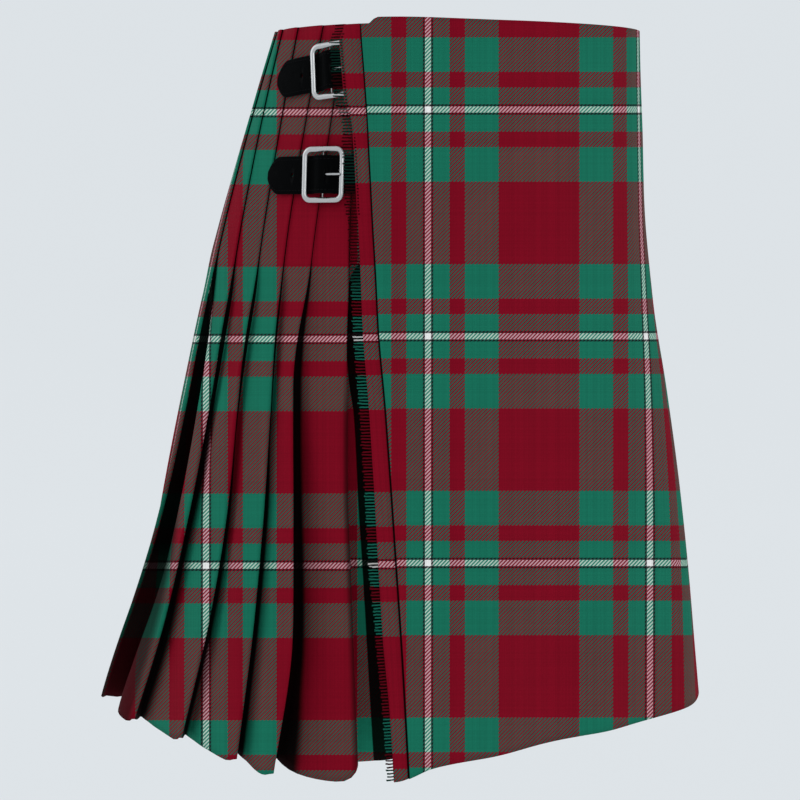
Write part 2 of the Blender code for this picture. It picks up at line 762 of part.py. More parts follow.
def make_chape(fastening, collection, finish):
    """A leather tab under the strap whose end curls round the centre bar."""
    path = [(-CHAPE_LENGTH, CHAPE_REST), (-HUMP_REACH, CHAPE_REST), CHAPE_BEND]
    for angle in CHAPE_CURL:
        turn = math.radians(angle)
        path.append((CHAPE_RING * math.cos(turn), BAR_AXIS + CHAPE_RING * math.sin(turn)))
    across = (-CHAPE_WIDTH / 2, -CHAPE_SLOT / 2, CHAPE_SLOT / 2, CHAPE_WIDTH / 2)
    rows = [[fastening.wrap(x, y, h) for x, h in path] for y in across]
    if fastening.side > 0:
        rows = rows[::-1]
    slot = [(1, column) for column in range(2, len(path) - 1)]
    sheet("chape_" + fastening.name, rows, CHAPE_THICK, collection, finish, slot)


# ---------------------------------------------------------------- the whole kilt
def material(name):
    colour, roughness, metallic = COLOURS[name]
    finish = bpy.data.materials.new(name)
    finish.use_nodes = True
    shader = finish.node_tree.nodes["Principled BSDF"]
    shader.inputs["Base Color"].default_value = (*colour, 1.0)
    shader.inputs["Roughness"].default_value = roughness
    shader.inputs["Metallic"].default_value = metallic
    return finish


def new_collection(name, hidden):
    made = bpy.data.collections.new(name)
    bpy.context.scene.collection.children.link(made)
    made.hide_render = hidden
    return made


def main():
    for obj in list(bpy.data.objects):
        bpy.data.objects.remove(obj)
    kilt = new_collection("scottish_kilt", False)
    cutters = new_collection("cutters", True)
    wool, leather, nickel = (material(name) for name in COLOURS)
    make_over_apron(kilt, wool)
    make_fringe(kilt, wool)
    make_under_apron(kilt, wool)
    make_pleats(kilt, wool)
    for row in FASTENINGS[1:]:
        fastening = Fastening(row)
        make_strap(fastening, kilt, cutters, leather)
        make_buckle(fastening, kilt, cutters, nickel)
        make_prong(fastening, kilt, nickel)
        make_chape(fastening, kilt, leather)
    for cutter in cutters.objects:
        cutter.display_type = "WIRE"
        cutter.hide_render = True


main()
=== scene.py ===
"""Kilt dresser: dresses a packed kilt with tartan wool, a thread fringe, leather and nickel.

A place on the garment is given by its reach along the level section (from the centre
front towards the wearer's right and round the back), its drop below the waist and
how far out it lies from the section. Metres, +Z up, the wearer faces -Y.
"""

import math

import bmesh
import bpy
import numpy as np
from mathutils import Matrix, Vector


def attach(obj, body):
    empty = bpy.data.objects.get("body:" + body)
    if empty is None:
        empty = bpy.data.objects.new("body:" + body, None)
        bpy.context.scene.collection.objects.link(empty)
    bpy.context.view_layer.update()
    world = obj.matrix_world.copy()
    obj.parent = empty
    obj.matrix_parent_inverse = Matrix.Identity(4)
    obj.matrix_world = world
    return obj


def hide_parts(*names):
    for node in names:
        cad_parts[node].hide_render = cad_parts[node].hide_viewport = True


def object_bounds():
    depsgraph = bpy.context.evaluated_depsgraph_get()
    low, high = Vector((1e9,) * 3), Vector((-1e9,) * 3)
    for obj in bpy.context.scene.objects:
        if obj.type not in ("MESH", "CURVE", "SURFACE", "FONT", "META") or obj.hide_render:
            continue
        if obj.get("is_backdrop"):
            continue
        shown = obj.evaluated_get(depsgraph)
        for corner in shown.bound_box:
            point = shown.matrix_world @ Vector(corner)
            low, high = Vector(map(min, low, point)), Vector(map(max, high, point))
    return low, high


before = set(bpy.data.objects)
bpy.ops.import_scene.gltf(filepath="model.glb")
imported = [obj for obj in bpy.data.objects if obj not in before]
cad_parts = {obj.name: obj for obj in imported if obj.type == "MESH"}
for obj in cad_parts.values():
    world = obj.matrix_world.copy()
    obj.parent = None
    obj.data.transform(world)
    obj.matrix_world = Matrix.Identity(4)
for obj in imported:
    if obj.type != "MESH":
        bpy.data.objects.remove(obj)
cad_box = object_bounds()

bl_info = {
    "name": "Kilt dresser",
    "version": (1, 0, 0),
    "blender": (4, 5, 0),
    "location": "3D View > Sidebar > Kilt",
    "description": "Dresses a pleated wrap kilt with cloth, fringe, straps and buckles",
    "category": "Object",
}

# ---------------------------------------------------------------- sizes of the garment
LENGTH = 0.610
# How square the level sections are, and their half width and depths at each drop.
SQUARENESS_WAIST = 2.2
SQUARENESS_HEM = 3.0
SECTIONS = (
    ("drop", "half_width", "front", "back"),
    (0.000, 0.1650, 0.1320, 0.1320),
    (0.060, 0.1755, 0.1265, 0.1550),
    (0.120, 0.1860, 0.1215, 0.1770),
    (0.180, 0.1965, 0.1185, 0.1970),
    (0.240, 0.2075, 0.1190, 0.2125),
    (0.320, 0.2215, 0.1260, 0.2285),
    (0.420, 0.2380, 0.1320, 0.2490),
    (0.520, 0.2540, 0.1345, 0.2720),
    (0.630, 0.2720, 0.1345, 0.3000),
)
# How much lower the hem hangs than the drop, and where the top edge's dip ends.
SAG_POWER = 4
DIP_ENDS = 0.050
HEM_SAG = (
    ("reach", "sag"),
    (-0.260, 0.0025),
    (-0.130, 0.0000),
    (-0.030, -0.0025),
    (0.080, -0.0015),
    (0.125, 0.0010),
    (0.155, 0.0080),
    (0.190, 0.0075),
    (0.250, 0.0055),
    (0.291, -0.0022),
    (0.340, -0.0060),
    (0.480, -0.0040),
    (0.800, 0.0000),
)
# The reach of the fold edges that show, at the drops named; the rest are spaced evenly.
FOLD_DROPS = (0.000, 0.200, 0.300, 0.410, 0.500, 0.610)
RIGHT_FOLDS = (
    ("waist", "fell", "seat", "thigh", "knee", "hem"),
    (0.1720, 0.1765, 0.1832, 0.1885, 0.1885, 0.1868),
    (0.1860, 0.2110, 0.2315, 0.2365, 0.2400, 0.2585),
    (0.2106, 0.2390, 0.2535, 0.2665, 0.2780, 0.2943),
    (0.2450, 0.2710, 0.2940, 0.3110, 0.3320, 0.3665),
    (0.2770, 0.3080, 0.3350, 0.3690, 0.4000, 0.4450),
    (0.3070, 0.3485, 0.3815, 0.4235, 0.4690, 0.5350),
)
BACK_FOLDS = 13
BACK_SPREAD = 0.85
BACK_SEAM_FOLD = 12
FOLD_WANDER = 0.0030
FOLD_WANDER_TURN = 2.1
FOLD_WANDER_FROM = 0.150
# The pleats are sewn down to the fell. Below it each opens, and its face passes over
# the next by the overlap.
FELL = 0.190
FELL_OPENED = 0.350
PLEAT_OPENING = (
    ("drop", "depth", "overlap"),
    (0.000, 0.0030, 0.0000),
    (0.190, 0.0030, 0.0000),
    (0.230, 0.0080, 0.0040),
    (0.280, 0.0130, 0.0080),
    (0.350, 0.0180, 0.0120),
    (0.430, 0.0210, 0.0150),
    (0.520, 0.0250, 0.0170),
    (0.630, 0.0290, 0.0190),
)
# How deep each fold edge's pleat opens, for the edges that show at the right.
OPENING_SHARES = (1.00, 1.12, 0.50, 0.50, 0.55, 0.85)
END_FOLD = (
    ("drop", "depth", "overlap"),
    (0.000, 0.0034, 0.0000),
    (0.190, 0.0036, 0.0000),
    (0.300, 0.0150, 0.0100),
    (0.450, 0.0280, 0.0180),
    (0.630, 0.0420, 0.0240),
)
LEFT_END = (
    ("drop", "depth", "overlap"),
    (0.000, 0.0012, 0.0150),
    (0.190, 0.0020, 0.0180),
    (0.300, 0.0050, 0.0260),
    (0.450, 0.0080, 0.0350),
    (0.630, 0.0110, 0.0420),
)
# The run of a pleat's face and fold edge, and how the side's pleats swing out.
FACE_ROLL = 0.0022
CREST_NOSE = 0.0015
CREST_NOSE_OPEN = 0.0024
CREST_OUT = -0.0006
SIDE_FLARE = 0.0060
SIDE_FLARE_REACH = (0.400, 0.500)
SIDE_FLARE_ENDS = (0.620, 0.760)
SIDE_FLARE_DROP = (0.430, 0.610)
REVERSE_GAP = 0.0010
REVERSE_SHARE = 0.1
# The dip of the pleats' top edge, and how far their hem corners are turned up.
PLEAT_DIP = 0.0030
CREST_LIFT = 0.0040
CREST_LIFT_REACH = 0.0065
FIRST_LIFT = 0.0160
FIRST_LIFT_REACH = 0.0050
APRON_EDGES = (
    ("drop", "fringed", "folded"),
    (0.000, 0.1690, 0.2250),
    (0.100, 0.1595, 0.2320),
    (0.200, 0.1545, 0.2400),
    (0.400, 0.1522, 0.2580),
    (0.630, 0.1440, 0.2780),
)
APRON_EDGE_COLUMNS = (0.0006, 0.0012)
APRON_PRESSED = 0.0005
APRON_PRESSED_REACH = 0.006
APRON_WAVES_FROM = 0.030
APRON_OUT = 0.0025
APRON_DIP = -0.0015
APRON_DIP_REACH = (0.050, 0.150)
APRON_CORNER_DIP = 0.0050
APRON_CORNER = (0.0070, 0.0130)
STRAP_LIFT = 0.0036
STRAP_LIFT_REACH = (0.090, 0.135)
STRAP_LIFT_DROP = (0.160, 0.250)
LEFT_LIFT = 0.0034
LEFT_LIFT_REACH = (0.150, 0.200)
LEFT_LIFT_DROP = (0.080, 0.150)
# The fringe: a woven strip past the apron's edge, then strands of loose threads.
STRIP_EDGE = (
    ("drop", "reach"),
    (0.000, 0.1840),
    (0.060, 0.1778),
    (0.110, 0.1700),
    (0.200, 0.1666),
    (0.400, 0.1664),
    (0.490, 0.1648),
    (0.550, 0.1605),
    (0.630, 0.1565),
)
STRIP_OUT = 0.0007
STRIP_THICK = 0.0010
STRIP_HIDDEN = 0.0060
STRIP_DIP = 0.0052
STRIP_RISE_REACH = (0.025, 0.040)
STRANDS = 240
STRAND_LENGTH = 0.0080
STRAND_UNEVEN = 0.08
STRAND_UNEVEN_TURN = 2.4
STRAND_SHORTER = 0.25
STRAND_SHORTER_DROPS = (0.440, 0.490)
STRAND_PLACE = 0.25
STRAND_LEAN = 0.12
THREAD_SHARES = (-0.25, 0.0, 0.35, 0.7, 1.0)
THREAD_APART = 0.12
THREAD_UNEVEN = (-0.06, 0.03)
THREAD_LEAN = 0.06
THREAD_STEP = 0.0003
THREAD_RADIUS = 0.0003
THREAD_POINTS = 7
THREAD_SIDES = 5
THREAD_BEND = 0.0016
THREAD_BEND_SCALE = 420.0
UNDER_APRON = (
    ("drop", "right_edge", "by_pleats", "middle"),
    (0.000, 0.2100, -0.0066, -0.0008),
    (0.190, 0.2130, -0.0070, -0.0008),
    (0.230, 0.2150, -0.0150, -0.0030),
    (0.280, 0.2160, -0.0220, -0.0060),
    (0.350, 0.2170, -0.0290, -0.0100),
    (0.430, 0.2180, -0.0350, -0.0150),
    (0.520, 0.2200, -0.0420, -0.0200),
    (0.630, 0.2200, -0.0500, -0.0250),
)
UNDER_APRON_LEFT = -0.200
UNDER_APRON_DEEP = (0.115, 0.160)
UNDER_APRON_SHORTER = 0.004
UNDER_APRON_DIP = 0.0045
UNDER_APRON_DIP_REACH = (0.090, 0.140)
# Straps: their section, how they rise over the centre bar, their ends and stitches.
STRAP_WIDTH = 0.0310
STRAP_THICK = 0.0018
STRAP_REST = 0.0018
STRAP_RISE = 0.0070
HUMP_REACH = 0.0135
STRAP_TIP_ROUND = 0.0145
STRAP_TIP_FLAT = 0.22
STRAP_TIP_POWER = 0.8
STRAP_TIP_ROWS = 12
STRAP_TIP_SPREAD = 1.6
STRAP_FIRST_STEP = 0.0022
STRAP_STEP = 0.0016
STRAP_EDGE_POWER = 0.25
STRAP_FACE_POWER = 0.6
HOLE_RADIUS = 0.0020
HOLE_HEIGHTS = (-0.001, 0.008)
HOLE_SIDES = 24
STITCH_INSET = 0.0030
STITCH_START = 0.006
STITCH_GUIDE_STEP = 0.0015
STITCH_LIFT = 0.00005
STITCH_RADIUS = 0.00026
STITCH_SPACING = 0.0031
STITCH_LENGTH = 0.0021
STITCH_SIDES = 6
# Buckles: a flattened wire frame, its centre bar and the prong hooked round it.
BUCKLE_WIDTH = 0.0340
BUCKLE_HEIGHT = 0.0414
BUCKLE_CORNER = 0.0056
BUCKLE_CORNER_STEPS = 8
BAR_RADIUS = 0.0023
BAR_FLATNESS = 0.65
BAR_AXIS = 0.0048
CENTRE_BAR_RADIUS = 0.0006
PRONG_RADIUS = 0.0011
PRONG_RING = 0.0026
PRONG_REST = 0.0172
PRONG_HEIGHT = 0.0076
PRONG_HOLE = (0.0006, 0.0128)
PRONG_BORE = 0.0018
PRONG_BORE_SIDES = 20
PRONG_HOOK_FROM = -10.0
PRONG_HOOK_TURN = 260.0
PRONG_HOOK_STEPS = 18
PRONG_TAPER = (
    ("share", "size"),
    (0.35, 1.0),
    (0.70, 0.92),
    (0.92, 0.85),
    (0.98, 0.62),
    (1.00, 0.25),
)
FASTENINGS = (
    (
        "name", "reach", "drop", "tilt", "tip", "hidden", "holes", "side",
        "strip_rise", "strand_rise",
    ),
    ("upper", 0.1938, 0.0405, 6.0, 0.0655, 0.0400, (0.0215, 0.0320), 1, 0.0088, 0.0094),
    ("lower", 0.1970, 0.1246, 1.0, 0.0615, 0.0400, (0.0210, 0.0315), 1, 0.0040, 0.0074),
    ("left", 0.2640, 0.0450, 0.0, 0.0560, 0.0500, (0.0215, 0.0320), -1, 0.0, 0.0),
)
CLOTH = 0.0012
FACE_SHARE = 0.95
FACE_SPREAD = 1.4
STRIP_COLUMNS = 8

# Soft waves of the flat panels: centre, where they begin, height and half width.
APRON_WAVES = (
    ("reach", "begins", "height", "width"),
    (0.118, 0.22, -0.0022, 0.026),
    (0.062, 0.26, 0.0026, 0.030),
    (0.004, 0.20, -0.0020, 0.034),
    (-0.058, 0.28, 0.0030, 0.028),
    (-0.118, 0.18, -0.0024, 0.036),
    (-0.186, 0.24, 0.0026, 0.030),
)
WAVE_GROWS = 0.30
PLEAT_WAVES = (
    ("length", "height", "turn"),
    (0.310, 0.0012, 1.7),
    (0.170, 0.0005, 4.1),
)
PLEAT_WAVE_LEAN = 2.2

# ---------------------------------------------------------------- the tartan
# One half of the pattern, from the middle of the white line to the middle of the
# broad red, as each colour's share of the half.
SETT = (
    ("yarn", "share"),
    ("white", 0.024),
    ("black", 0.021),
    ("green", 0.147),
    ("red", 0.137),
    ("green", 0.306),
    ("red", 0.365),
)
# Each yarn's colour, how far it takes on the yarn it crosses, and the tint it gives.
YARNS = {
    "white": ((0.900, 0.880, 0.850), 1.00, (1.00, 1.00, 1.00)),
    "black": ((0.008, 0.008, 0.009), 0.00, (0.30, 0.30, 0.30)),
    "green": ((0.0150, 0.214, 0.146), 0.85, (0.55, 0.72, 0.62)),
    "red": ((0.210, 0.0024, 0.0128), 0.00, (0.66, 0.38, 0.44)),
}
SETT_SIZE = 0.183
APRON_SETT_WIDEST = 0.360
PLEAT_SETT_WIDEST = 0.800
THREADS_IN_SETT = 236
# The pattern lies level and upright as seen from the right of the front. Its white
# lines and its repeat are given as tangents of the angles seen from there.
VIEW_PLACE = (-1.0807, -1.4006, -0.1117)
VIEW_TURN = -36.0
VIEW_FALL = 6.9
WHITE_ACROSS = 0.01407
WHITE_UP = 0.14598
SETT_ACROSS = 0.11156
SETT_UP = 0.11394
SEEN_FOLDS = 6
LEVEL_UNTIL = -0.160
PLEATS_LOWER = 0.012
STRIP_LOWER = 0.006
STRIP_PLACE = 0.42
# The width of the painted shade in the dark gap beside each fold edge as seen from there, and
# behind the hidden folds.
GAPS = (
    ("drop", "first", "second", "third", "fourth", "fifth", "hidden"),
    (0.000, 0.00065, 0.00065, 0.00065, 0.00065, 0.00065, 0.0008),
    (0.180, 0.00065, 0.00065, 0.00065, 0.00065, 0.00065, 0.0008),
    (0.215, 0.0020, 0.0014, 0.0014, 0.0018, 0.0030, 0.0020),
    (0.293, 0.0052, 0.0016, 0.0021, 0.0028, 0.0040, 0.0045),
    (0.341, 0.0052, 0.0017, 0.0018, 0.0044, 0.0052, 0.0055),
    (0.390, 0.0054, 0.0032, 0.0027, 0.0050, 0.0070, 0.0065),
    (0.439, 0.0062, 0.0036, 0.0036, 0.0048, 0.0104, 0.0075),
    (0.488, 0.0066, 0.0037, 0.0041, 0.0054, 0.0132, 0.0085),
    (0.537, 0.0080, 0.0038, 0.0042, 0.0066, 0.0150, 0.0100),
    (0.577, 0.0112, 0.0041, 0.0042, 0.0068, 0.0155, 0.0110),
    (0.630, 0.0142, 0.0042, 0.0042, 0.0072, 0.0155, 0.0120),
)
# Where painted shadow darkens the under apron behind the fringe, as seen from there. Its cloth is
# also painted lighter, and its painted shadow is lifted past the centre front.
UNDER_SHADOW = (
    ("drop", "across"),
    (0.000, -0.0130),
    (0.190, -0.0130),
    (0.200, -0.0230),
    (0.215, -0.0262),
    (0.250, -0.0275),
    (0.293, -0.0258),
    (0.317, -0.0236),
    (0.341, -0.0226),
    (0.390, -0.0212),
    (0.439, -0.0193),
    (0.501, -0.0171),
    (0.574, -0.0146),
    (0.630, -0.0126),
)
SHADOW_SOFT = 0.0015
UNDER_PAINTED_LIGHT = 0.55
UNDER_LIT = 9
UNDER_LIT_REACH = 0.100
# Painted shadow: how wide the dark line is where the apron's fringed edge lies over the strip, and
# along the apron's own edge.
STRIP_EDGE_SHADOW = 0.0010
APRON_EDGE_SHADOW = 0.0005
# The painted shade of the soft crease along the first pleat's edge: its depth, place, width and
# ends.
CREASE_SHADE = -0.75
CREASE_PAST = 0.0008
CREASE_WIDTH = 0.0028
CREASE_DROPS = (0.27, 0.33, 0.60, 0.62)
# The last pleat seen from there is painted in shade low down, and the painted shade of its gap is
# not quite black.
LAST_SEEN = SEEN_FOLDS - 1
LAST_SHADE = -0.80
LAST_GAP_LIGHT = 0.87
LAST_INSIDE_LIGHT = 1.00
LAST_DROPS = (0.360, 0.500)
HIDDEN_REACH = (0.150, 0.200)
LIT = 60.0
GAP_SHADE = 0.97
# Painted light on the loose threads: how lit they are high up, lower down, and over the floor at
# the hem.
THREAD_SHADED = 0.12
THREAD_LIT = 0.70
THREAD_LIT_DROPS = (0.195, 0.235)
THREAD_LOW = 0.25
THREAD_LOW_DROPS = (0.580, 0.595)

# ---------------------------------------------------------------- camera and stage
CAMERA_LENS = 89.55
CAMERA_SENSOR = 36.0
FLOOR_FLAT = 4.0
FLOOR_BEND = 2.0
FLOOR_BEND_STEPS = 8
FLOOR_SIDES = 96
WALL_TOP = 5.0
STUDIO_PALE = (0.735, 0.775, 0.805)
STUDIO_PALER = (0.742, 0.781, 0.812)
STUDIO_GLOW = 0.90
STUDIO_SHADE = 0.10
# Soft boxes: place, aim, size and power.
LAMPS = (
    ("place", "aim", "size", "power"),
    ((-3.2, -3.6, 1.6), (0.0, 0.0, -0.3), 2.6, 24.0),
    ((2.6, -3.4, 0.9), (0.0, 0.0, -0.3), 2.6, 20.0),
    ((1.8, 3.6, 1.8), (0.0, 0.0, -0.3), 2.6, 22.0),
    ((-3.4, 2.4, 1.4), (0.0, 0.0, -0.3), 2.6, 20.0),
)
WORLD_LIGHT = 1.0


# ---------------------------------------------------------------- tables and sections
def column(table, name):
    """One named column of a table, without its heading."""
    index = table[0].index(name)
    return np.array([row[index] for row in table[1:]])


def flow(known, values, at):
    """A smooth curve through a table's values that never overshoots them."""
    rises = np.diff(values) / np.diff(known)
    before, after = rises[:-1], rises[1:]
    same_way = before * after > 0
    joined = np.where(same_way, before + after, 1.0)
    slopes = np.concatenate(
        [rises[:1], np.where(same_way, 2 * before * after / joined, 0.0), rises[-1:]]
    )
    at = np.clip(at, known[0], known[-1])
    i = np.clip(np.searchsorted(known, at) - 1, 0, len(known) - 2)
    span = known[i + 1] - known[i]
    t = (at - known[i]) / span
    start = (2 * t**3 - 3 * t**2 + 1) * values[i] + (t**3 - 2 * t**2 + t) * span * slopes[i]
    end = (3 * t**2 - 2 * t**3) * values[i + 1] + (t**3 - t**2) * span * slopes[i + 1]
    return start + end


def read(table, name, at):
    """A named column read at a place, or at many, of the table's first column."""
    return flow(column(table, table[0][0]), column(table, name), at)


def ease(value, start, end):
    """0 before start, 1 after end, and smooth between them."""
    t = np.clip((value - start) / (end - start), 0.0, 1.0)
    return t * t * (3 - 2 * t)


class Figure:
    """The worn form, kept as closely spaced level sections."""

    FIRST, LAST, STEP = -0.012, 0.66, 0.004
    SAMPLES = 1440
    NEAR = 0.0015

    def __init__(self):
        self.drops = np.arange(self.FIRST, self.LAST, self.STEP)
        self.levels = [self.level(drop) for drop in self.drops]

    def level(self, drop):
        """One section: its points in plan, and how far along it each lies."""
        half, front, back = (read(SECTIONS, name, drop) for name in SECTIONS[0][1:])
        share = max(drop, 0.0) / LENGTH
        power = 2.0 / (SQUARENESS_WAIST + (SQUARENESS_HEM - SQUARENESS_WAIST) * share)
        turn = np.linspace(0.0, 2 * math.pi, self.SAMPLES + 1)
        sine, cosine = np.sin(turn), np.cos(turn)
        x = -half * np.sign(sine) * np.abs(sine) ** power
        y = (back - front) / 2 - (back + front) / 2 * np.sign(cosine) * np.abs(cosine) ** power
        along = np.concatenate([[0.0], np.cumsum(np.hypot(np.diff(x), np.diff(y)))])
        return x, y, along

    def girth(self, drop):
        """The way round the section at a drop."""
        return np.interp(drop, self.drops, [along[-1] for _, _, along in self.levels])

    def spot(self, reach, drop):
        """Where points of the section lie in plan, straight between two levels."""
        steps = (drop - self.drops[0]) / self.STEP
        below = np.clip(steps.astype(int), 0, len(self.drops) - 2)
        share = steps - below
        found = np.zeros((len(reach), 2))
        for index in np.unique(below):
            here = below == index
            for level, weight in ((index, 1 - share[here]), (index + 1, share[here])):
                x, y, along = self.levels[level]
                wrapped = reach[here] % along[-1]
                found[here, 0] += weight * np.interp(wrapped, along, x)
                found[here, 1] += weight * np.interp(wrapped, along, y)
        return found

    def place(self, reach, drop, out):
        """Points of the garment, given as equally long arrays or single numbers."""
        reach, drop, out = np.broadcast_arrays(
            *(np.atleast_1d(np.asarray(value, float)) for value in (reach, drop, out))
        )
        step = self.spot(reach + self.NEAR, drop) - self.spot(reach - self.NEAR, drop)
        step /= np.linalg.norm(step, axis=1)[:, None]
        outwards = np.column_stack([-step[:, 1], step[:, 0]])
        plan = self.spot(reach, drop) + outwards * out[:, None]
        return np.column_stack([plan, -drop])


figure = Figure()


def settled(row_drop, reach, dip):
    """The true drop of a row's points: the top edge dips and the hem sags."""
    sag = (row_drop / LENGTH) ** SAG_POWER * read(HEM_SAG, "sag", reach)
    return row_drop + sag + dip * (1 - ease(row_drop, 0.0, DIP_ENDS))


def seen(points):
    """How far across and up the pattern points lie, in repeats from its white lines."""
    turn, fall = math.radians(VIEW_TURN), math.radians(VIEW_FALL)
    ahead = np.array([-math.sin(turn) * math.cos(fall), math.cos(turn) * math.cos(fall)])
    ahead = np.append(ahead, -math.sin(fall))
    across = np.array([math.cos(turn), math.sin(turn), 0.0])
    up = np.cross(across, ahead)
    away = points - np.array(VIEW_PLACE)
    depth = away @ ahead
    return away @ across / depth, (away @ up / depth - WHITE_UP) / SETT_UP


# ---------------------------------------------------------------- meshes and objects
def linked(name, data):
    """A new object with its data, in the scene."""
    obj = bpy.data.objects.new(name, data)
    bpy.context.scene.collection.objects.link(obj)
    return obj


def mesh_of(work, name):
    """A mesh from a bmesh, which is freed."""
    mesh = bpy.data.meshes.new(name)
    work.to_mesh(mesh)
    work.free()
    return mesh


def bridge(work, pairs):
    """Smooth quads between the two rings of points of each pair."""
    for one, two in pairs:
        for k in range(len(one)):
            j = (k + 1) % len(one)
            work.faces.new((one[k], one[j], two[j], two[k])).smooth = True


def finished(name, mesh, finish):
    """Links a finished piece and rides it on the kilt."""
    mesh.materials.clear()
    mesh.materials.append(finish)
    obj = linked(name, mesh)
    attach(obj, "root")
    return obj


def shell(name, outer, inner, along, up, shades):
    """A closed cloth mesh between two grids of points, with the pattern's place as UVs.

    along is a pair of grids, the pattern's place across where each column's quad
    begins and where the one before it ends. up is the grid of its place upwards.
    shades holds a grid for each shade: "light" is how far a point lies clear of the
    painted shade in the dark gaps, in gaps, and the other how much lighter or darker
    painted light or shade makes its cloth.
    """
    rows, cols = outer.shape[:2]
    count = rows * cols
    index = np.arange(count).reshape(rows, cols)
    a, b, c, d = index[:-1, :-1], index[:-1, 1:], index[1:, 1:], index[1:, :-1]
    faces = [
        np.stack([a, b, c, d], -1).reshape(-1, 4),
        np.stack([a, d, c, b], -1).reshape(-1, 4) + count,
    ]
    for edge, turned in (
        (index[0], True), (index[-1], False), (index[:, 0], False), (index[:, -1], True)
    ):
        first, second = (edge[1:], edge[:-1]) if turned else (edge[:-1], edge[1:])
        faces.append(np.stack([first, second, second + count, first + count], -1))
    smooth = len(faces[0]) + len(faces[1])
    faces = np.concatenate(faces)
    mesh = bpy.data.meshes.new(name)
    points = np.concatenate([outer.reshape(-1, 3), inner.reshape(-1, 3)])
    mesh.from_pydata(points.tolist(), [], faces.tolist())
    mesh.polygons.foreach_set("use_smooth", np.arange(len(faces)) < smooth)
    here = faces % count
    col = here % cols
    left = np.minimum.reduce(col, axis=1)[:, None]
    begins, ends = along
    flat_row = here // cols
    u = np.where(col == left, begins[flat_row, col], ends[flat_row, col])
    v = up[flat_row, col]
    layer = mesh.uv_layers.new(name="cloth")
    layer.data.foreach_set("uv", np.stack([u, v], -1).astype(np.float32).ravel())
    for label, grid in shades.items():
        shade = mesh.attributes.new(label, "FLOAT", "POINT")
        shade.data.foreach_set("value", np.tile(grid.ravel(), 2).astype(np.float32))
    mesh.validate()
    return mesh


def tube(points, radius, sides, closed=False, taper=None):
    """A closed round wire mesh along a path."""
    points = [Vector(point) for point in points]
    count = len(points)
    work = bmesh.new()
    rings = []
    normal = None
    for i, point in enumerate(points):
        before = points[i - 1] if i or closed else point
        after = points[(i + 1) % count] if i < count - 1 or closed else point
        tangent = (after - before).normalized()
        if normal is None:
            normal = tangent.orthogonal().normalized()
        normal = (normal - tangent * normal.dot(tangent)).normalized()
        side = tangent.cross(normal)
        size = radius * (taper[i] if taper else 1.0)
        ring = []
        for k in range(sides):
            turn = 2 * math.pi * k / sides
            ring.append(
                work.verts.new(point + (normal * math.cos(turn) + side * math.sin(turn)) * size)
            )
        rings.append(ring)
    pairs = list(zip(rings, rings[1:])) + ([(rings[-1], rings[0])] if closed else [])
    bridge(work, pairs)
    if not closed:
        work.faces.new(rings[0][::-1])
        work.faces.new(rings[-1])
    bmesh.ops.recalc_face_normals(work, faces=work.faces)
    return mesh_of(work, "tube")


def joined(name, meshes):
    """One mesh from several."""
    work = bmesh.new()
    for mesh in meshes:
        work.from_mesh(mesh)
        bpy.data.meshes.remove(mesh)
    return mesh_of(work, name)


def baked_mesh(obj):
    """The object's mesh as its modifiers leave it; the object itself is removed."""
    depsgraph = bpy.context.evaluated_depsgraph_get()
    mesh = bpy.data.meshes.new_from_object(
        obj.evaluated_get(depsgraph), preserve_all_data_layers=True, depsgraph=depsgraph
    )
    bpy.data.objects.remove(obj)
    return mesh


# ---------------------------------------------------------------- shader building
class Value:
    """A shader number that adds, multiplies and compares as numbers do."""

    def __init__(self, board, socket):
        self.board = board
        self.socket = socket

    def __add__(self, other):
        return self.board.maths("ADD", self, other)

    def __radd__(self, other):
        return self.board.maths("ADD", other, self)

    def __sub__(self, other):
        return self.board.maths("SUBTRACT", self, other)

    def __rsub__(self, other):
        return self.board.maths("SUBTRACT", other, self)

    def __mul__(self, other):
        return self.board.maths("MULTIPLY", self, other)

    def __rmul__(self, other):
        return self.board.maths("MULTIPLY", other, self)

    def __truediv__(self, other):
        return self.board.maths("DIVIDE", self, other)

    def __lt__(self, other):
        return self.board.maths("LESS_THAN", self, other)

    def __gt__(self, other):
        return self.board.maths("GREATER_THAN", self, other)


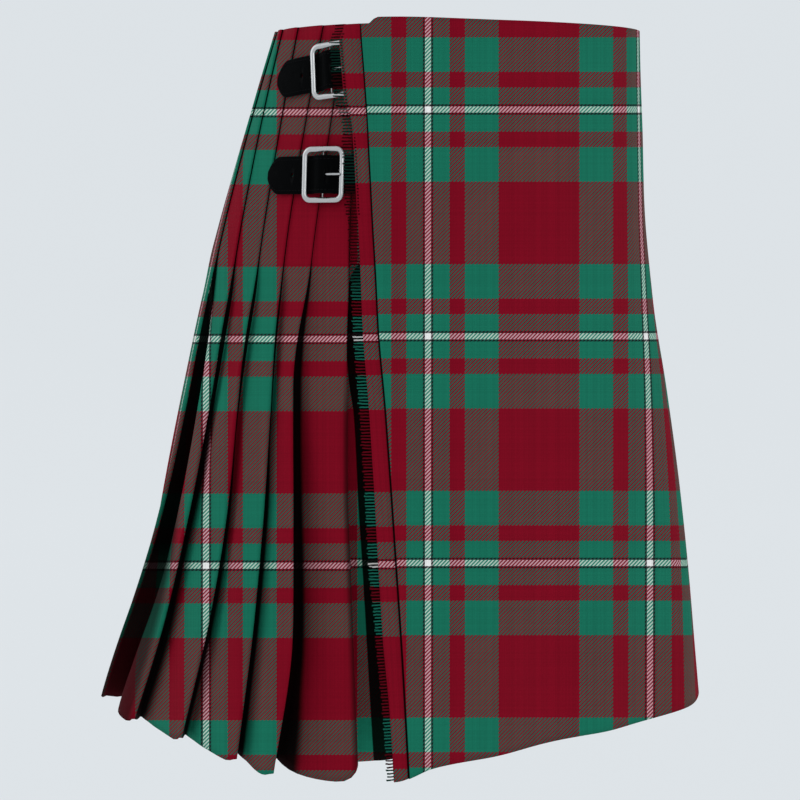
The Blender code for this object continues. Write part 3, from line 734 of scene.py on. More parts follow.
class Board:
    """A material's node tree, built one node at a time."""

    def __init__(self, name):
        self.material = bpy.data.materials.new(name)
        self.material.use_nodes = True
        self.tree = self.material.node_tree
        self.shader = self.tree.nodes["Principled BSDF"]

    def put(self, socket, value):
        """Links a value to a socket, or sets it."""
        if isinstance(value, Value):
            value = value.socket
        if isinstance(value, bpy.types.NodeSocket):
            self.tree.links.new(value, socket)
        elif isinstance(value, tuple) and len(value) == 3 and socket.type == "RGBA":
            socket.default_value = (*value, 1.0)
        else:
            socket.default_value = value

    def node(self, kind, settings=None, values=None):
        """A new node with its settings and inputs."""
        made = self.tree.nodes.new(kind)
        for key, value in (settings or {}).items():
            setattr(made, key, value)
        for key, value in (values or {}).items():
            self.put(made.inputs[key], value)
        return made

    def maths(self, operation, *values):
        """A number worked out from others."""
        made = self.node("ShaderNodeMath", {"operation": operation}, dict(enumerate(values)))
        return Value(self, made.outputs[0])

    def mix(self, share, one, two, blend="MIX"):
        """Two colours mixed by a share."""
        made = self.node(
            "ShaderNodeMix", {"data_type": "RGBA", "blend_type": blend}, {0: share, 6: one, 7: two}
        )
        return made.outputs[2]

    def noise(self, vector, scale, detail=2.0):
        """Soft noise from 0 to 1."""
        made = self.node(
            "ShaderNodeTexNoise", None, {"Vector": vector, "Scale": scale, "Detail": detail}
        )
        return Value(self, made.outputs[0])

    def stepped(self, value, start, end):
        """0 before start, 1 after end, and smooth between."""
        made = self.node(
            "ShaderNodeMapRange",
            {"interpolation_type": "SMOOTHSTEP"},
            {"Value": value, "From Min": start, "From Max": end},
        )
        return Value(self, made.outputs[0])

    def random(self, number):
        """A random number for each whole number."""
        made = self.node("ShaderNodeTexWhiteNoise", {"noise_dimensions": "1D"}, {"W": number})
        return Value(self, made.outputs["Value"])

    def place(self):
        """The place in the object's own coordinates."""
        return self.node("ShaderNodeTexCoord").outputs["Object"]

    def attribute(self, name):
        """A number kept on the mesh."""
        made = self.node("ShaderNodeAttribute", {"attribute_name": name})
        return Value(self, made.outputs["Fac"])

    def bump(self, height, strength, distance):
        """Fine relief over the surface."""
        made = self.node(
            "ShaderNodeBump", None, {"Height": height, "Strength": strength, "Distance": distance}
        )
        self.put(self.shader.inputs["Normal"], made.outputs[0])

    def set(self, **values):
        """Sets the surface's inputs by name."""
        for key, value in values.items():
            self.put(self.shader.inputs[key.replace("_", " ")], value)


def yarn_ramp(board, along, which):
    """The yarn at a place along the pattern: its colour or the tint it gives."""
    half = board.maths("PINGPONG", along * 2.0, 1.0)
    ramp = board.node("ShaderNodeValToRGB", None, {"Fac": half})
    stops = ramp.color_ramp
    stops.interpolation = "CONSTANT"
    start = 0.0
    for number, (yarn, share) in enumerate(SETT[1:]):
        stop = stops.elements[number] if number < 2 else stops.elements.new(start)
        stop.position = start
        stop.color = (*YARNS[yarn][which], YARNS[yarn][1])
        start += share
    return ramp.outputs["Color"], Value(board, ramp.outputs["Alpha"])


def greyed(board, colour, shade):
    """A colour made darker or lighter by a number."""
    grey = board.node("ShaderNodeCombineColor", None, {0: shade, 1: shade, 2: shade}).outputs[0]
    return board.mix(1.0, colour, grey, "MULTIPLY")


def tartan(name):
    """A red and green tartan in a two-and-two wool twill."""
    board = Board(name)
    place = board.node("ShaderNodeUVMap", {"uv_map": "cloth"}).outputs[0]
    split = board.node("ShaderNodeSeparateXYZ", None, {0: place})
    u, v = (Value(board, split.outputs[i]) for i in (0, 1))
    end, pick = u * THREADS_IN_SETT, v * THREADS_IN_SETT
    end_number, pick_number = (board.maths("FLOOR", value) for value in (end, pick))
    warp_over = board.maths("FRACT", (end_number - pick_number) / 4) < 0.5
    warp, warp_takes = yarn_ramp(board, u, 0)
    weft, weft_takes = yarn_ramp(board, v, 0)
    warp_tint, _ = yarn_ramp(board, u, 2)
    weft_tint, _ = yarn_ramp(board, v, 2)
    plain = (1.0, 1.0, 1.0)
    warp = board.mix(1.0, warp, board.mix(warp_takes, plain, weft_tint), "MULTIPLY")
    weft = board.mix(1.0, weft, board.mix(weft_takes, plain, warp_tint), "MULTIPLY")
    colour = board.mix(warp_over, weft, warp)
    shade = 0.90 + 0.12 * board.random(end_number * 0.37) + 0.08 * board.random(pick_number * 0.61)
    shade = shade * (0.94 + 0.12 * board.noise(board.place(), 26.0, 4.0))
    # Painted shade: the cloth goes black in the gaps beside the fold edges, and painted light or
    # shade kept on the mesh makes it lighter or darker.
    edge = board.stepped(board.attribute("light"), 0.75, 1.15)
    shade = shade * (1 - GAP_SHADE + GAP_SHADE * edge) * (1 + board.attribute("tone"))
    round_end = board.maths("SINE", board.maths("FRACT", end) * math.pi)
    round_pick = board.maths("SINE", board.maths("FRACT", pick) * math.pi)
    relief = warp_over * round_end + (1 - warp_over) * round_pick
    # Painted shade: each yarn is lighter along its middle and darker at its sides, where the bump
    # also raises and lowers it.
    shade = shade * (0.86 + 0.22 * relief)
    nap = board.noise(board.place(), 1500.0, 3.0)
    board.bump(relief * 0.7 + nap * 0.6, 0.45, 0.0003)
    board.set(Base_Color=greyed(board, colour, shade), Roughness=0.86 + 0.12 * nap)
    board.set(Specular_IOR_Level=0.05)
    return board.material


def thread_wool(name):
    """Loose weft threads: each takes the tartan's colour at its own height."""
    board = Board(name)
    colour, _ = yarn_ramp(board, board.attribute("pattern_height"), 0)
    fuzz = board.noise(board.place(), 2600.0, 3.0)
    # Painted light and shade kept on each thread darkens or lightens it.
    shade = (0.55 + 0.5 * fuzz) * board.attribute("thread_light")
    board.bump(fuzz, 0.5, 0.0003)
    board.set(Base_Color=greyed(board, colour, shade), Roughness=0.95, Specular_IOR_Level=0.05)
    return board.material


def leather(name):
    """Black strap leather with a fine grain, creases and edges worn a little lighter."""
    board = Board(name)
    place = board.place()
    cells = board.node(
        "ShaderNodeTexVoronoi", {"feature": "DISTANCE_TO_EDGE"}, {"Vector": place, "Scale": 950.0}
    )
    grain = board.maths("MINIMUM", Value(board, cells.outputs["Distance"]) * 3.0, 0.5)
    creases = board.noise(place, 160.0, 5.0)
    edge = board.node("ShaderNodeNewGeometry").outputs["Pointiness"]
    worn = board.maths("MULTIPLY", Value(board, edge) > 0.53, creases)
    colour = board.mix(worn * 0.4, (0.0012, 0.0014, 0.0016), (0.012, 0.012, 0.012))
    board.bump(grain * 1.2 + creases * 0.8, 0.45, 0.0003)
    board.set(Base_Color=colour, Roughness=0.50 + 0.20 * creases)
    board.set(Specular_IOR_Level=0.012)
    return board.material


def nickel(name):
    """Plated metal with fine scratches and a little dulling."""
    board = Board(name)
    place = board.place()
    dull = board.noise(place, 120.0, 4.0)
    scratch = board.noise(place, 2400.0, 2.0)
    colour = board.mix(dull, (0.57, 0.57, 0.57), (0.46, 0.46, 0.46))
    board.bump(scratch, 0.10, 0.0001)
    board.set(Base_Color=colour, Roughness=0.20 + 0.20 * dull, Metallic=1.0)
    return board.material


def sewing_thread(name):
    """Black sewing thread with a soft twist."""
    board = Board(name)
    twist = board.noise(board.place(), 3000.0, 2.0)
    board.set(Base_Color=board.mix(twist, (0.003, 0.003, 0.0034), (0.012, 0.012, 0.013)))
    board.bump(twist, 0.4, 0.0002)
    board.set(Roughness=0.9, Specular_IOR_Level=0.02)
    return board.material


# ---------------------------------------------------------------- node groups
def repeat_tree(name, build):
    """A geometry node tree with one geometry in and out, filled in by build."""
    tree = bpy.data.node_groups.new(name, "GeometryNodeTree")
    face = tree.interface
    face.new_socket("Geometry", in_out="INPUT", socket_type="NodeSocketGeometry")
    face.new_socket("Geometry", in_out="OUTPUT", socket_type="NodeSocketGeometry")
    for label, kind, default in (
        ("Radius", "NodeSocketFloat", 0.0004),
        ("Spacing", "NodeSocketFloat", 0.0033),
        ("Length", "NodeSocketFloat", 0.0022),
        ("Seed", "NodeSocketInt", 7),
    ):
        socket = face.new_socket(label, in_out="INPUT", socket_type=kind)
        socket.default_value = default
    face.new_socket("Material", in_out="INPUT", socket_type="NodeSocketMaterial")
    start = tree.nodes.new("NodeGroupInput")
    end = tree.nodes.new("NodeGroupOutput")

    def add(kind, settings=None, links=None):
        made = tree.nodes.new(kind)
        for key, value in (settings or {}).items():
            setattr(made, key, value)
        for key, value in (links or {}).items():
            if isinstance(value, bpy.types.NodeSocket):
                tree.links.new(value, made.inputs[key])
            else:
                made.inputs[key].default_value = value
        return made

    shape = build(add, start.outputs)
    real = add("GeometryNodeRealizeInstances", None, {"Geometry": shape})
    smooth = add("GeometryNodeSetShadeSmooth", None, {"Geometry": real.outputs[0]})
    painted = add(
        "GeometryNodeSetMaterial",
        None,
        {"Geometry": smooth.outputs[0], "Material": start.outputs["Material"]},
    )
    tree.links.new(painted.outputs[0], end.inputs[0])
    return tree


def build_threads(add, given):
    """Each guide edge chain becomes a loose thread, bent a little by a seeded noise."""
    curve = add("GeometryNodeMeshToCurve", None, {"Mesh": given["Geometry"]})
    fine = add(
        "GeometryNodeResampleCurve", None, {"Curve": curve.outputs[0], "Count": THREAD_POINTS}
    )
    place = add("GeometryNodeInputPosition")
    wool = add(
        "ShaderNodeTexNoise",
        {"noise_dimensions": "4D"},
        {
            "Vector": place.outputs[0],
            "W": given["Seed"],
            "Scale": THREAD_BEND_SCALE,
            "Detail": 1.0,
        },
    )
    centred = add(
        "ShaderNodeVectorMath",
        {"operation": "SUBTRACT"},
        {0: wool.outputs["Color"], 1: (0.5, 0.5, 0.5)},
    )
    along = add("GeometryNodeSplineParameter")
    reach = add(
        "ShaderNodeMath",
        {"operation": "MULTIPLY"},
        {0: along.outputs["Factor"], 1: THREAD_BEND},
    )
    drift = add(
        "ShaderNodeVectorMath",
        {"operation": "SCALE"},
        {0: centred.outputs[0], "Scale": reach.outputs[0]},
    )
    bent = add(
        "GeometryNodeSetPosition", None, {"Geometry": fine.outputs[0], "Offset": drift.outputs[0]}
    )
    ring = add(
        "GeometryNodeCurvePrimitiveCircle",
        None,
        {"Resolution": THREAD_SIDES, "Radius": given["Radius"]},
    )
    thread = add(
        "GeometryNodeCurveToMesh",
        None,
        {"Curve": bent.outputs[0], "Profile Curve": ring.outputs[0], "Fill Caps": True},
    )
    return thread.outputs[0]


def build_stitches(add, given):
    """A run of short stitches laid along each guide."""
    curve = add("GeometryNodeMeshToCurve", None, {"Mesh": given["Geometry"]})
    points = add(
        "GeometryNodeResampleCurve",
        {"mode": "LENGTH"},
        {"Curve": curve.outputs[0], "Length": given["Spacing"]},
    )
    tangent = add("GeometryNodeInputTangent")
    turn = add(
        "FunctionNodeAlignRotationToVector", {"axis": "Z"}, {"Vector": tangent.outputs[0]}
    )
    stitch = add(
        "GeometryNodeMeshCylinder",
        {"fill_type": "NGON"},
        {"Vertices": STITCH_SIDES, "Radius": given["Radius"], "Depth": given["Length"]},
    )
    laid = add(
        "GeometryNodeInstanceOnPoints",
        None,
        {
            "Points": points.outputs[0],
            "Instance": stitch.outputs[0],
            "Rotation": turn.outputs[0],
        },
    )
    return laid.outputs[0]


def repeated(name, guides, tree, values, finish, kept=None):
    """A piece made by a node group from guide lines, left as a plain mesh."""
    mesh = bpy.data.meshes.new(name + "_guides")
    points = np.concatenate(guides)
    ends = np.cumsum([len(guide) for guide in guides])
    edges = [(i, i + 1) for i in range(len(points) - 1) if i + 1 not in set(ends.tolist())]
    mesh.from_pydata(points.tolist(), edges, [])
    for label, numbers in (kept or {}).items():
        layer = mesh.attributes.new(label, "FLOAT", "POINT")
        layer.data.foreach_set("value", np.asarray(numbers, np.float32))
    holder = linked(name + "_guides", mesh)
    step = holder.modifiers.new("repeat", "NODES")
    step.node_group = tree
    for item in tree.interface.items_tree:
        if item.in_out == "INPUT" and item.name in values:
            step[item.identifier] = values[item.name]
        if item.in_out == "INPUT" and item.name == "Material":
            step[item.identifier] = finish
    return finished(name, baked_mesh(holder), finish)


# ---------------------------------------------------------------- cloth pieces
def strap_lift(reach, drop):
    """How far the apron and its strip ride up over the straps at the right hip."""
    return STRAP_LIFT * ease(reach, *STRAP_LIFT_REACH) * (1 - ease(drop, *STRAP_LIFT_DROP))


def left_lift(reach, drop):
    """How far the apron's folded edge rides up over the strap at the left hip."""
    return LEFT_LIFT * ease(-reach, *LEFT_LIFT_REACH) * (1 - ease(drop, *LEFT_LIFT_DROP))


def panel_waves(reach, drop):
    """The soft waves of the front panel."""
    total = np.zeros_like(reach)
    for centre, begins, height, width in APRON_WAVES[1:]:
        swell = np.exp(-(((reach - centre) / width) ** 2))
        total += height * swell * ease(drop, begins, begins + WAVE_GROWS)
    return total


def panel(
    name, rows, reaches, out_at, dip, shorter, finish, light_at, pattern_at=None, tone=0.0
):
    """A flat panel as a closed shell; out_at gives how far out each place lies."""
    outer, inner, reached, light = [], [], [], []
    for drop in rows:
        reach = reaches(drop)
        out = out_at(reach, drop)
        true_drop = settled(drop, reach, dip(reach)) - shorter * (drop / LENGTH) ** SAG_POWER
        outer.append(figure.place(reach, true_drop, out))
        inner.append(figure.place(reach, true_drop, out - CLOTH))
        reached.append(reach)
        light.append(light_at(reach, drop, seen(outer[-1])[0]))
    outer, reached = np.array(outer), np.array(reached)
    up = seen(outer)[1]
    if pattern_at:
        along, up = pattern_at(outer, up)
    else:
        hidden = ease(-reached[:, 1:], *HIDDEN_REACH)
        tightest = (1 - hidden) / APRON_SETT_WIDEST + hidden / SETT_SIZE
        along = pattern_along(outer, tightest)
        level = np.argmin(np.abs(reached[0] - LEVEL_UNTIL))
        up = np.where(np.arange(up.shape[1]) < level, up[:, level : level + 1], up)
    light = np.array(light)
    # Painted shade in the gaps, and painted light or shade over the whole panel.
    shades = {"light": light, "tone": np.full(light.shape, tone)}
    mesh = shell(name, outer, np.array(inner), (along, along), up, shades)
    return finished(name, mesh, finish)


def pattern_along(points, tightest):
    """The pattern's place across a panel, from its last column back to its first.

    It keeps level with what is seen, but never stretches past its widest repeat.
    """
    across = (seen(points)[0] - WHITE_ACROSS) / SETT_ACROSS
    gone = np.linalg.norm(np.diff(points, axis=1), axis=2)
    steps = np.maximum(-np.diff(across, axis=1), gone * tightest)
    along = np.repeat(across[:, -1:], across.shape[1], axis=1)
    along[:, :-1] += np.cumsum(steps[:, ::-1], axis=1)[:, ::-1]
    return along


def apron_dip(reach):
    """How much lower the top edge lies; it drops a little towards the fringed corner."""
    corner = 1 - ease(APRON_EDGES[1][1] - reach, *APRON_CORNER)
    return APRON_DIP * ease(reach, *APRON_DIP_REACH) + APRON_CORNER_DIP * corner


def strip_dip(reach):
    """How much lower the strip's top edge lies; it is even along its width."""
    return APRON_DIP + STRIP_DIP


def over_apron(finish, rows, columns):
    """The fringed front panel, with its fringed edge pressed in a little."""

    def reaches(drop):
        start, end = -read(APRON_EDGES, "folded", drop), read(APRON_EDGES, "fringed", drop)
        middle = start + (end - start) * np.linspace(0.0, 1.0, columns)
        return np.sort(np.append(middle, end - np.array(APRON_EDGE_COLUMNS)))

    def out_at(reach, drop):
        edge = read(APRON_EDGES, "fringed", drop) - reach
        pressed = APRON_PRESSED * np.exp(-((edge / APRON_PRESSED_REACH) ** 2))
        waves = panel_waves(reach, drop) * ease(edge, 0.0, APRON_WAVES_FROM)
        return APRON_OUT + strap_lift(reach, drop) + left_lift(reach, drop) + waves - pressed

    def light_at(reach, drop, across):
        # Painted shadow: a thin dark line along the fringed edge.
        return (read(APRON_EDGES, "fringed", drop) - reach) / APRON_EDGE_SHADOW

    piece = panel(
        "over_apron_cloth",
        np.linspace(0, LENGTH, rows),
        reaches,
        out_at,
        apron_dip,
        0.0,
        finish,
        light_at,
    )
    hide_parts("over_apron")
    return piece


def under_apron(finish, rows, columns):
    """The panel beneath, which shows only in the deep gap beside the fringe."""

    def reaches(drop):
        return np.linspace(UNDER_APRON_LEFT, read(UNDER_APRON, "right_edge", drop), columns)

    def out_at(reach, drop):
        middle = read(UNDER_APRON, "middle", drop)
        deep = read(UNDER_APRON, "by_pleats", drop) - middle
        return middle + deep * ease(reach, *UNDER_APRON_DEEP)

    def light_at(reach, drop, across):
        # Painted shadow behind the fringe, lifted where the panel passes the centre front.
        shadow = (read(UNDER_SHADOW, "across", drop) - across) / SHADOW_SOFT
        return 1 + shadow + UNDER_LIT * ease(-reach, 0.0, UNDER_LIT_REACH)

    piece = panel(
        "under_apron_cloth",
        np.linspace(0, LENGTH, rows),
        reaches,
        out_at,
        lambda reach: UNDER_APRON_DIP * ease(reach, *UNDER_APRON_DIP_REACH),
        UNDER_APRON_SHORTER,
        finish,
        light_at,
        tone=UNDER_PAINTED_LIGHT,
    )
    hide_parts("under_apron")
    return piece


# ---------------------------------------------------------------- pleats
def fold_reaches(drop):
    """The reach of every fold edge at a drop, with the over apron's own edge last."""
    seen_folds = [float(flow(np.array(FOLD_DROPS), np.array(row), drop)) for row in RIGHT_FOLDS[1:]]
    last = figure.girth(drop) - read(APRON_EDGES, "folded", drop)
    wander = FOLD_WANDER * ease(drop, FOLD_WANDER_FROM, LENGTH)
    hidden = []
    for i in range(1, BACK_FOLDS):
        along = (last - seen_folds[-1]) * (i / BACK_FOLDS) ** BACK_SPREAD
        hidden.append(seen_folds[-1] + along + wander * math.sin(FOLD_WANDER_TURN * i))
    return seen_folds + hidden + [last]


def opening_depth(drop, fold):
    """How deep the cloth lies beside a fold edge."""
    share = OPENING_SHARES[fold] if fold < len(OPENING_SHARES) else 1.0
    return read(PLEAT_OPENING, "depth", drop) * (1 + (share - 1) * ease(drop, FELL, FELL_OPENED))


def hidden_turn(drop, folds, fold):
    """The two points where the cloth turns back behind a fold edge."""
    depth = opening_depth(drop, fold)
    overlap = read(PLEAT_OPENING, "overlap", drop)
    width = folds[fold] - folds[fold - 1]
    tip = (folds[fold] + overlap, -depth * (1 + overlap / width))
    return tip, (tip[0], tip[1] + min(REVERSE_GAP, depth * REVERSE_SHARE))


def crest_lift(row_drop, past, fold):
    """How far points of a row are turned up, by how far past their fold edge they lie."""
    turned = np.where(
        fold > 0,
        CREST_LIFT * np.exp(-((past / CREST_LIFT_REACH) ** 2)),
        FIRST_LIFT * np.exp(-np.abs(past) / FIRST_LIFT_REACH),
    )
    return turned * (row_drop / LENGTH) ** SAG_POWER


class Level:
    """One level of the pleats: its points with each one's fold, and whether it shows."""

    WAY_OUT = (0.25, 0.5, 0.75, 0.94)

    def __init__(self):
        self.points, self.folds, self.shows = [], [], []

    def add(self, point, fold, shows):
        """Adds a point."""
        self.points.append(point)
        self.folds.append(fold)
        self.shows.append(shows)

    def way_out(self, start, crest, fold):
        """Adds the hidden points from a turn out to the fold edge."""
        for share in self.WAY_OUT:
            self.add(tuple(a + (b - a) * share for a, b in zip(start, crest)), fold, False)


def pleat_level(drop, first, last, shares, nose_steps):
    """The path of the pleats at one drop, from the fringed side round the back."""
    folds = fold_reaches(drop)
    opened = ease(drop, FELL, FELL_OPENED)
    nose = CREST_NOSE + (CREST_NOSE_OPEN - CREST_NOSE) * opened
    level = Level()
    if first == 0:
        start = (folds[0] + read(END_FOLD, "overlap", drop), -read(END_FOLD, "depth", drop))
    else:
        start = hidden_turn(drop, folds, first)[1]
    level.add(start, first, False)
    level.way_out(start, (folds[first], -nose), first)
    for fold in range(first, last):
        here, after = folds[fold], folds[fold + 1]
        under_apron_edge = fold + 1 == len(folds) - 1
        left_end = read(LEFT_END, "depth", drop)
        depth = left_end if under_apron_edge else opening_depth(drop, fold + 1)
        for i in range(nose_steps + 1):
            turn = math.pi / 2 * i / nose_steps
            point = (here + nose - nose * math.cos(turn), -nose + nose * math.sin(turn))
            level.add(point, fold, True)
        for step in shares:
            share = nose / (after - here) * (1 - step) + step
            bulge = FACE_ROLL * opened * math.sin(math.pi * share)
            for length, height, turn in PLEAT_WAVES[1:]:
                phase = drop / length * 2 * math.pi + turn * fold + share * PLEAT_WAVE_LEAN
                bulge += height * opened * math.sin(phase) * share * (1 - share) * 4
            level.add((here + (after - here) * share, bulge - depth * share), fold, True)
        if under_apron_edge:
            level.add((after, -depth), fold, True)
            level.add((after + read(LEFT_END, "overlap", drop), -depth), fold, True)
        else:
            tip, rise = hidden_turn(drop, folds, fold + 1)
            near = level.points[-1]
            level.add(tuple((a + b) / 2 for a, b in zip(near, tip)), fold, True)
            level.add(tip, fold, True)
            if fold + 1 < last:
                level.add(rise, fold + 1, False)
                level.way_out(rise, (after, -nose), fold + 1)
    return folds, level


def side_flare(reach, drop):
    """How far the pleats of the right side swing out towards the hem."""
    across = ease(reach, *SIDE_FLARE_REACH) * (1 - ease(reach, *SIDE_FLARE_ENDS))
    return SIDE_FLARE * across * ease(drop, *SIDE_FLARE_DROP)


class PleatPattern:
    """How the tartan runs over the pleats, as seen on the right and plainly behind."""

    def __init__(self):
        folds = np.array(fold_reaches(FELL))
        here = self.crests(FELL, folds[SEEN_FOLDS - 1 : SEEN_FOLDS])
        start = (seen(here)[0][0] - WHITE_ACROSS) / SETT_ACROSS
        self.hidden = start - (folds - folds[SEEN_FOLDS - 1]) / SETT_SIZE

    def crests(self, drop, folds):
        """Where fold edges lie at a drop."""
        out = CREST_OUT + side_flare(folds, drop)
        return figure.place(folds, settled(drop, folds, PLEAT_DIP), out)

    def lay(self, drop, folds, level, points):
        """The pattern's places across and up one level, and how clear of the painted shade in the
        gaps it is.
        """
        folds = np.array(folds)
        crests = self.crests(drop, folds)
        across, up = seen(points)
        crest_across, crest_up = seen(crests)
        far_up = seen(figure.place(LEVEL_UNTIL, settled(drop, LEVEL_UNTIL, 0.0), 0.0))[1]
        begins, ends, ups, light = [], [], [], []
        for i, fold in enumerate(level.folds):
            starts = level.shows[i] and (i == 0 or not level.shows[i - 1])
            gone = float(np.linalg.norm(points[i] - points[i - 1])) if i else 0.0
            if not i:
                place = 0.0
            elif fold < LAST_SEEN and level.shows[i]:
                turned = (across[i - 1] - across[i]) / SETT_ACROSS
                place = begins[-1] - max(turned, gone / PLEAT_SETT_WIDEST)
            else:
                place = begins[-1] - gone / SETT_SIZE
            ends.append(place)
            if starts and fold < LAST_SEEN:
                place = (across[i] - WHITE_ACROSS) / SETT_ACROSS
            elif starts:
                place = self.hidden[fold]
            begins.append(place)
            if fold < SEEN_FOLDS:
                ups.append(up[i] + PLEATS_LOWER)
            else:
                gone_round = (folds[fold] - folds[SEEN_FOLDS]) / (folds[-1] - folds[SEEN_FOLDS])
                near_up = crest_up[SEEN_FOLDS]
                ups.append(near_up + (far_up[0] - near_up) * gone_round + PLEATS_LOWER)
            light.append(self.light(drop, fold, level, i, folds, across, crest_across))
        return begins, ends, ups, light

    def light(self, drop, fold, level, i, folds, across, crest_across):
        """How clear a point is of the painted shade in the dark gap beside the next fold edge, in
        gaps; cloth turned back out of sight is painted in shade.
        """
        low_down = ease(drop, *LAST_DROPS)
        if not level.shows[i]:
            return LAST_INSIDE_LIGHT * low_down if fold == LAST_SEEN else 0.0
        reach = level.points[i][0]
        if fold + 2 == len(folds):
            return LIT
        if fold + 1 < SEEN_FOLDS:
            clear = (across[i] - crest_across[fold + 1]) / read(GAPS, GAPS[0][fold + 1], drop)
            lowest = LAST_GAP_LIGHT * low_down if fold + 1 == LAST_SEEN else 0.0
            return min(max(clear, lowest), LIT)
        return min((folds[fold + 1] - reach) / read(GAPS, "hidden", drop), LIT)


def wrong_side(points, thickness):
    """A path moved level to its wrong side by a thickness, with mitred corners."""
    steps = np.diff(points[:, :2], axis=0)
    steps /= np.linalg.norm(steps, axis=1)[:, None]
    normals = np.column_stack([-steps[:, 1], steps[:, 0]])
    before = np.vstack([normals[:1], normals])
    after = np.vstack([normals, normals[-1:]])
    share = 1 + np.sum(before * after, axis=1)
    moved = points[:, :2] - thickness * (before + after) / share[:, None]
    return np.column_stack([moved, points[:, 2]])


def first_crease_shade(drop, past):
    """How much painted shade darkens the first pleat along the soft crease at its edge."""
    starts, started, fades, faded = CREASE_DROPS
    along = ease(drop, starts, started) * (1 - ease(drop, fades, faded))
    return CREASE_SHADE * along * np.exp(-(((past - CREASE_PAST) / CREASE_WIDTH) ** 2))


def pleats(name, first, last, finish, rows, shares, nose_steps, replaced):
    """A run of pleats as one closed shell."""
    pattern = PleatPattern()
    outer, inner, begins, ends, ups, light, tone = [], [], [], [], [], [], []
    for drop in rows:
        folds, level = pleat_level(drop, first, last, shares, nose_steps)
        reach, out = np.array(level.points).T
        fold = np.array(level.folds)
        past = reach - np.array(folds)[fold]
        lower = settled(drop, reach, PLEAT_DIP) - crest_lift(drop, past, fold)
        points = figure.place(reach, lower, CREST_OUT + side_flare(reach, drop) + out)
        outer.append(points)
        inner.append(wrong_side(points, CLOTH))
        # Painted shade on the last pleat seen from there, low down.
        last_pleat_shade = LAST_SHADE * ease(drop, *LAST_DROPS) * (fold == LAST_SEEN)
        # Painted shade along the soft crease at the first pleat's edge.
        tone.append(first_crease_shade(drop, past) * (fold == 0) + last_pleat_shade)
        for kept, row in zip((begins, ends, ups, light), pattern.lay(drop, folds, level, points)):
            kept.append(row)
    begins, ends, ups, light, tone = (
        np.array(kept) for kept in (begins, ends, ups, light, tone)
    )
    shades = {"light": light, "tone": tone}
    mesh = shell(name, np.array(outer), np.array(inner), (begins, ends), ups, shades)
    piece = finished(name, mesh, finish)
    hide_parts(replaced)
    return piece


# ---------------------------------------------------------------- fringe
def fringe_rise(drop, name):
    """How far the strip's edge or a thread's end rises to lie over the buckles."""
    rise = np.zeros_like(drop)
    for near, height in zip(column(FASTENINGS, "drop"), column(FASTENINGS, name)):
        rise = np.maximum(rise, height * (1 - ease(np.abs(drop - near), *STRIP_RISE_REACH)))
    return rise


def fringe_strip(finish, rows, columns):
    """The woven strip that shows between the apron's edge and its loose threads."""

    def reaches(drop):
        start = read(APRON_EDGES, "fringed", drop) - STRIP_HIDDEN
        return np.linspace(start, read(STRIP_EDGE, "reach", drop), columns)

    def out_at(reach, drop):
        edge = read(APRON_EDGES, "fringed", drop)
        share = np.clip((reach - edge) / (read(STRIP_EDGE, "reach", drop) - edge), 0.0, 1.0)
        return STRIP_OUT + strap_lift(reach, drop) + fringe_rise(drop, "strip_rise") * share

    def light_at(reach, drop, across):
        # Painted shadow where the apron's edge lies over the strip; the strip is black beneath the
        # apron.
        return (reach - read(APRON_EDGES, "fringed", drop)) / STRIP_EDGE_SHADOW

    def pattern_at(points, up):
        across = seen(points)[0]
        return (across - across[:, :1]) / SETT_ACROSS - STRIP_PLACE, up + STRIP_LOWER

    return panel(
        "fringe_strip",
        np.linspace(0, LENGTH, rows),
        reaches,
        out_at,
        strip_dip,
        0.0,
        finish,
        light_at,
        pattern_at,
    )


def fringe_threads(finish, a_strand, seed):
    """Loose threads in small bundles beyond the strip, one bundle for each strand."""
    dice = np.random.default_rng(seed)
    pitch = LENGTH / STRANDS
    shares = np.array(THREAD_SHARES)
    past_strip = np.clip(shares, 0.0, 1.0)
    guides, heights, lights = [], [], []
    for number in range(STRANDS):
        centre = pitch * (number + STRAND_PLACE)
        length = STRAND_LENGTH * (1 + STRAND_UNEVEN * math.sin(number * STRAND_UNEVEN_TURN))
        length *= 1 - STRAND_SHORTER * ease(centre, *STRAND_SHORTER_DROPS)
        bundle_lean = dice.uniform(-STRAND_LEAN, STRAND_LEAN) * pitch
        for k in range(a_strand):
            off = (k - (a_strand - 1) / 2) * pitch * THREAD_APART
            reach_out = length * (1 + dice.uniform(*THREAD_UNEVEN))
            lean = bundle_lean + dice.uniform(-THREAD_LEAN, THREAD_LEAN) * pitch
            drop = np.clip(centre + off + lean * shares**2, 0.0, LENGTH)
            reach = read(STRIP_EDGE, "reach", drop) + reach_out * shares
            low, high = (fringe_rise(drop, name) for name in ("strip_rise", "strand_rise"))
            out = STRIP_OUT - STRIP_THICK / 2 + strap_lift(reach, drop)
            out += low + (high - low) * past_strip + THREAD_STEP * (k - 1) * past_strip
            points = figure.place(reach, settled(drop, reach, strip_dip(reach)), out)
            guides.append(points)
            heights.extend(seen(points)[1] + STRIP_LOWER)
            # Painted light and shade: the threads are dark high up, lit lower down, and darker over
            # the floor at the hem.
            lit = THREAD_SHADED + (THREAD_LIT - THREAD_SHADED) * ease(drop, *THREAD_LIT_DROPS)
            lights.extend(lit * (1 - (1 - THREAD_LOW) * ease(drop, *THREAD_LOW_DROPS)))
    tree = repeat_tree("loose_threads", build_threads)
    values = {"Radius": THREAD_RADIUS, "Seed": seed}
    kept = {"pattern_height": heights, "thread_light": lights}
    piece = repeated("fringe_threads", guides, tree, values, finish, kept)
    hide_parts("apron_fringe")
    return piece


